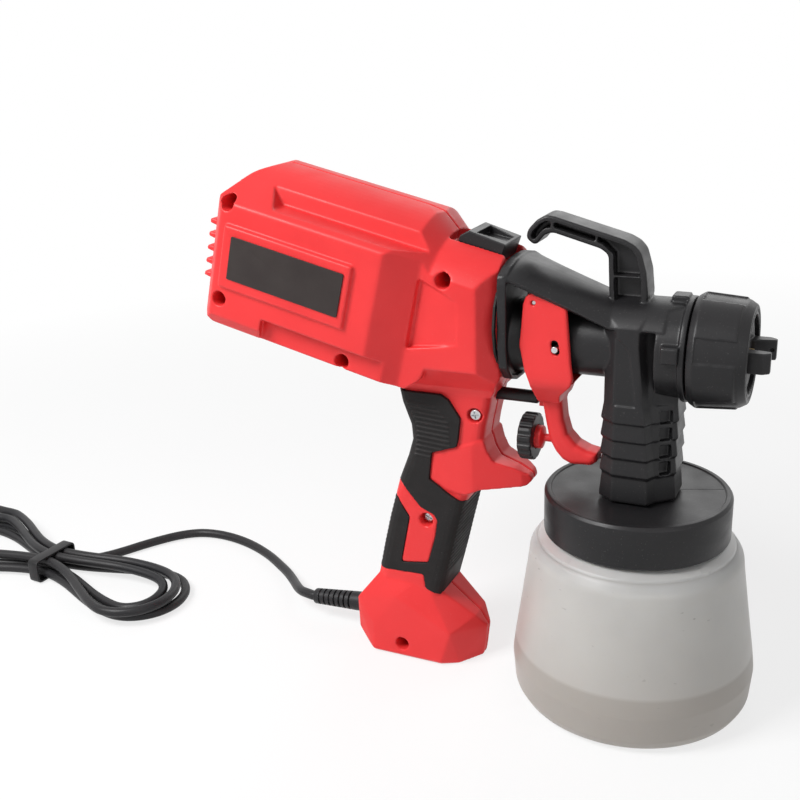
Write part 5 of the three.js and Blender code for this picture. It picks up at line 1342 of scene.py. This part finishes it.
def make_knob():
    profile = ring(KNOB_HUB_R + RUN_GAP, KNOB_R, KNOB_REAR_X, KNOB_FRONT_X)
    disc = lathe("X", filleted(profile, [0, 1.2, 1.2, 0]), (0, KNOB_Z), 128)
    flutes = []
    for i in range(KNOB_FLUTES):
        turn = 2 * math.pi * i / KNOB_FLUTES
        at = ((KNOB_R + 0.6) * math.cos(turn), KNOB_Z + (KNOB_R + 0.6) * math.sin(turn))
        flutes.append(lathe("X", rod(KNOB_FLUTE_R, KNOB_REAR_X - 1, KNOB_FRONT_X + 1), at, 20))
    low, high = KNOB_REAR_X - 1, KNOB_REAR_X + 1.2
    dish = lathe("X", [(0, low), (10, low), (8.6, high), (0, high)], (0, KNOB_Z), 64)
    disc = moulded(cut(disc, dish, *flutes), voxel=0.3, rounds=3, keep=0.5)
    hand_over(disc, "knob_ring", "flow_control", "black_plastic", "flow_knob", sharp=False)
    hub = [
        (0, KNOB_REAR_X - 0.5), (KNOB_HUB_R, KNOB_REAR_X - 0.5), (KNOB_HUB_R, KNOB_FRONT_X + 3),
        (KNOB_SCREW_R, KNOB_FRONT_X + 4), (KNOB_SCREW_R, KNOB_SCREW_FRONT_X), (0, KNOB_SCREW_FRONT_X),
    ]
    hub = lathe("X", filleted(hub, [0, 1, 0.6, 0, 0.3, 0]), (0, KNOB_Z), 64)
    hand_over(hub, "knob_hub", "flow_control", "red_plastic", "flow_knob_hub")


NUT_CORE = [(0, 24.2), (25.4, 24.2), (26.3, 27.4), (24.9, 46.6), (22.8, 50), (0, 50)]
NUT_OUTER = [(0, 24.2), (25.4, 24.2), (27.2, 27.2), (25.8, 46.6), (22.8, 50), (0, 50)]
NUT_PADS = 5
NUT_PAD_DEG = 47
NUT_PAD_START_DEG = 201


def make_nut():
    core = on_nozzle(filleted(NUT_CORE, [0, 0.6, 0.5, 0.8, 0.8, 0]), 128)
    outer = on_nozzle(filleted(NUT_OUTER, [0, 0.6, 0.8, 1, 0.8, 0]), 128)
    keep = [on_nozzle(rod(30, 24, 27.6), 64)]
    for i in range(NUT_PADS):
        middle = NUT_PAD_START_DEG + i * 360 / NUT_PADS
        rim = arc(0, NOZZLE_Z, 34, middle - NUT_PAD_DEG / 2, middle + NUT_PAD_DEG / 2, 12)
        keep.append(prism("X", [(0, NOZZLE_Z), *rim], 27, 45.4, 0.3))
    nut = join(core, common(outer, join(*keep)))
    nut = cut(
        nut,
        on_nozzle(rod(THREAD_R + RUN_GAP, 20, 47)),
        on_nozzle(rod(NUT_MOUTH_R, 20, 60)),
        on_nozzle(ring(19.6, 21.4, 49.2, 52)),
    )
    nut = moulded(nut, voxel=0.45, rounds=3, keep=0.45)
    hand_over(nut, "nozzle_ring", "nut", "black_plastic", "nozzle_nut", sharp=False)


HORN_HALF_HEIGHT = 4.9
HORN_OUTLINE = [(46, 14.6), (56, 14.6), (59, 12.4), (59, 9.4), (49, 7.4), (46, 7.4)]
HORN_JET_R = 0.8
HORN_JET_TURN = math.radians(60)
FACE_JET_R = 0.5
FACE_JET_Y = 6.4
FACE_JET_Z = 3.4


def make_air_cap():
    profile = [
        (3.2, 45), (8, 44), (15.8, 41), (15.8, 39), (19.6, 39), (19.6, 46.7), (17.8, 46.7), (17.8, 48),
        (14, 48.4), (9, 47.4), (6, 47.4), (4.6, 48), (3.2, 48),
    ]
    cap = on_nozzle(profile)
    horns = []
    drills = []
    for s in (-1, 1):
        outline = [(x, y * s) for x, y in filleted(HORN_OUTLINE, 0.8)]
        horns.append(prism("Z", outline, NOZZLE_Z - HORN_HALF_HEIGHT, NOZZLE_Z + HORN_HALF_HEIGHT, 0.8))
        aim = Matrix.Translation((56, s * 7.6, NOZZLE_Z)) @ Matrix.Rotation(s * HORN_JET_TURN, 4, "Z")
        drills.append(lathe("X", rod(HORN_JET_R, -3, 3), (0, 0), 16, aim))
        for z in (-FACE_JET_Z, FACE_JET_Z):
            drills.append(lathe("X", rod(FACE_JET_R, 44, 50), (s * FACE_JET_Y, NOZZLE_Z + z), 12))
    cap = moulded(cut(join(cap, *horns), *drills), voxel=0.3, rounds=3, keep=0.4)
    hand_over(cap, "air_cap_shell", "cap", "black_plastic", "air_cap", sharp=False)
    tip = [(1.4, 36.8), (6.4, 36.8), (6.4, 40), (2.9, 43.6), (2.6, 50.2), (2.3, 50.4), (1.4, 50.4)]
    hand_over(on_nozzle(tip, 48), "fluid_nozzle", "spray_head", "brass", "fluid_tip")


# ---------------------------------------------------------------- lid and container

LID_R = 46
LID_BOTTOM_Z = 92.4
LID_TOP_Z = 114
LID_SEAM_TURN = math.radians(20)
POST_FOOT_R = 11.3
CONTAINER_NECK_R = 41.6
CONTAINER_TOP_Z = 109.5
CONTAINER_OUTER = [
    (0, 1.6), (40, 1.6), (44, 0), (53, 0), (57.4, 2.2), (60.2, 7), (61.4, 21), (60.3, 30), (59.4, 36),
    (57.3, 50), (55.3, 64), (53.6, 76), (53, 82), (50, 86.5), (44.5, 90), (CONTAINER_NECK_R, 92),
    (CONTAINER_NECK_R, CONTAINER_TOP_Z),
]
CONTAINER_FILLETS = [0, 1, 1, 3, 3, 5, 6, 1, 1, 8, 8, 10, 8, 8, 4, 1, 0]
CONTAINER_WALL = 1.8


def make_container():
    inner = [(r - CONTAINER_WALL, z + CONTAINER_WALL) for r, z in CONTAINER_OUTER[3:-1]]
    inner.append((CONTAINER_NECK_R - CONTAINER_WALL, CONTAINER_TOP_Z))
    profile = filleted(CONTAINER_OUTER, CONTAINER_FILLETS, 5, closed=False)
    profile += filleted([*reversed(inner), (44, 1.9), (40, 3.4), (0, 3.4)], 1.5, 4, closed=False)
    made = lathe("Z", profile, sides=160)
    hand_over(made, "paint_container", "container", "milky_plastic", "container")


def make_lid():
    profile = filleted(
        [
            (POST_FOOT_R, 111.2), (42.6, 111.2), (42.6, LID_BOTTOM_Z), (LID_R, LID_BOTTOM_Z),
            (LID_R, LID_TOP_Z - 1.6), (LID_R - 1.3, LID_TOP_Z), (LID_R - 3.2, LID_TOP_Z),
            (LID_R - 3.8, 113.3), (POST_FOOT_R, 113.3),
        ],
        [0, 0.5, 0.3, 0.6, 1.2, 0.8, 0.4, 0.3, 0],
    )
    seam = box(16, LID_R - 3.8, -0.2, 0.2, 112.9, 115, place=Matrix.Rotation(LID_SEAM_TURN, 4, "Z"))
    lid = cut(lathe("Z", profile, sides=160), seam)
    hand_over(lid, "screw_lid", "spray_head", "black_plastic", "lid")


# ---------------------------------------------------------------- stage and light

FLOOR_HALF = 8.0
FLOOR_Z = -0.0004
FLOOR_SHOWN = 0.25
FADE_START = 0.45
FADE_END = 1.0


def seen_plainly(tree):
    """1 for rays from the camera, off gloss or through a clear piece, and 0 for all other rays."""
    path = add_node(tree, "LightPath").outputs
    seen = path["Is Camera Ray"]
    for kind in ("Is Glossy Ray", "Is Transmission Ray"):
        seen = add_node(tree, "Math", {0: seen, 1: path[kind]}, operation="MAXIMUM").outputs[0]
    return seen


def make_floor():
    """A pale floor. Far from the object it fades to the plain white of the background."""
    mesh = bpy.data.meshes.new("floor")
    corners = [(-1, -1), (1, -1), (1, 1), (-1, 1)]
    mesh.from_pydata([(x * FLOOR_HALF, y * FLOOR_HALF, FLOOR_Z) for x, y in corners], [], [(0, 1, 2, 3)])
    floor = link("floor", mesh)
    made = bpy.data.materials.new("floor")
    made.use_nodes = True
    tree = made.node_tree
    tree.nodes.clear()
    where = add_node(tree, "TexCoord").outputs["Object"]
    away = add_node(tree, "VectorMath", {0: where}, operation="LENGTH").outputs["Value"]
    paper = noise(tree, where, 6, 3)
    colour = mix_colour(tree, paper, (0.93, 0.93, 0.93), (0.96, 0.96, 0.96))
    diffuse = add_node(tree, "BsdfDiffuse", {"Color": colour}).outputs[0]
    white = add_node(tree, "Emission", {"Color": (1, 1, 1, 1), "Strength": 1.0}).outputs[0]
    share = ramp(tree, away, FADE_START, FADE_END, 1 - FLOOR_SHOWN, 1)
    faded = multiply(tree, share, seen_plainly(tree))
    shown = add_node(tree, "MixShader", {"Fac": faded, 1: diffuse, 2: white})
    output = add_node(tree, "OutputMaterial")
    tree.links.new(shown.outputs[0], output.inputs["Surface"])
    mesh.materials.append(made)


AMBIENT = 0.25


def make_world():
    world = bpy.data.worlds.new("studio")
    bpy.context.scene.world = world
    world.use_nodes = True
    tree = world.node_tree
    tree.nodes.clear()
    plain = add_node(tree, "Background", {"Color": (0.97, 0.98, 1, 1), "Strength": AMBIENT}).outputs[0]
    white = add_node(tree, "Background", {"Color": (1, 1, 1, 1), "Strength": 1.0}).outputs[0]
    shown = add_node(tree, "MixShader", {"Fac": seen_plainly(tree), 1: plain, 2: white})
    output = add_node(tree, "OutputWorld")
    tree.links.new(shown.outputs[0], output.inputs["Surface"])


# Each lamp: where it stands, in metres from the middle of the object, its size and its power.
LAMPS = {
    "key": ((-0.42, -0.55, 0.72), 0.4, 10.0),
    "fill": ((0.95, -0.75, 0.45), 0.9, 1.6),
    "rim": ((0.1, 1.1, 0.8), 0.8, 3.0),
}
OBJECT_MIDDLE = Vector((-0.12, 0, 0.12))


def make_lamps():
    for name, (at, size, power) in LAMPS.items():
        light = bpy.data.lights.new(name, "AREA")
        light.shape = "SQUARE"
        light.size = size
        light.energy = power
        lamp = link(name, light)
        lamp.location = OBJECT_MIDDLE + Vector(at)
        lamp.rotation_euler = (-Vector(at)).to_track_quat("-Z", "Y").to_euler()


def paint_cad_nodes():
    """The CAD nodes that still show get their slot's finish."""
    slots = {part["node"]: part["material_slot"] for part in frame["record"]["subparts"]}
    for name, shown in frame["nodes"].items():
        for material_slot in shown.material_slots:
            material_slot.material = FINISHES[slots[name]]


make_camera()
make_cord()
make_housing()
make_grip_rubber()
make_label()
make_screws()
make_latch()
make_plunger()
make_strain_relief()
make_head_body()
make_pins()
make_trigger()
make_knob()
make_nut()
make_air_cap()
make_container()
make_lid()
paint_cad_nodes()
make_floor()
make_world()
make_lamps()
bpy.context.scene.view_settings.view_transform = "Standard"
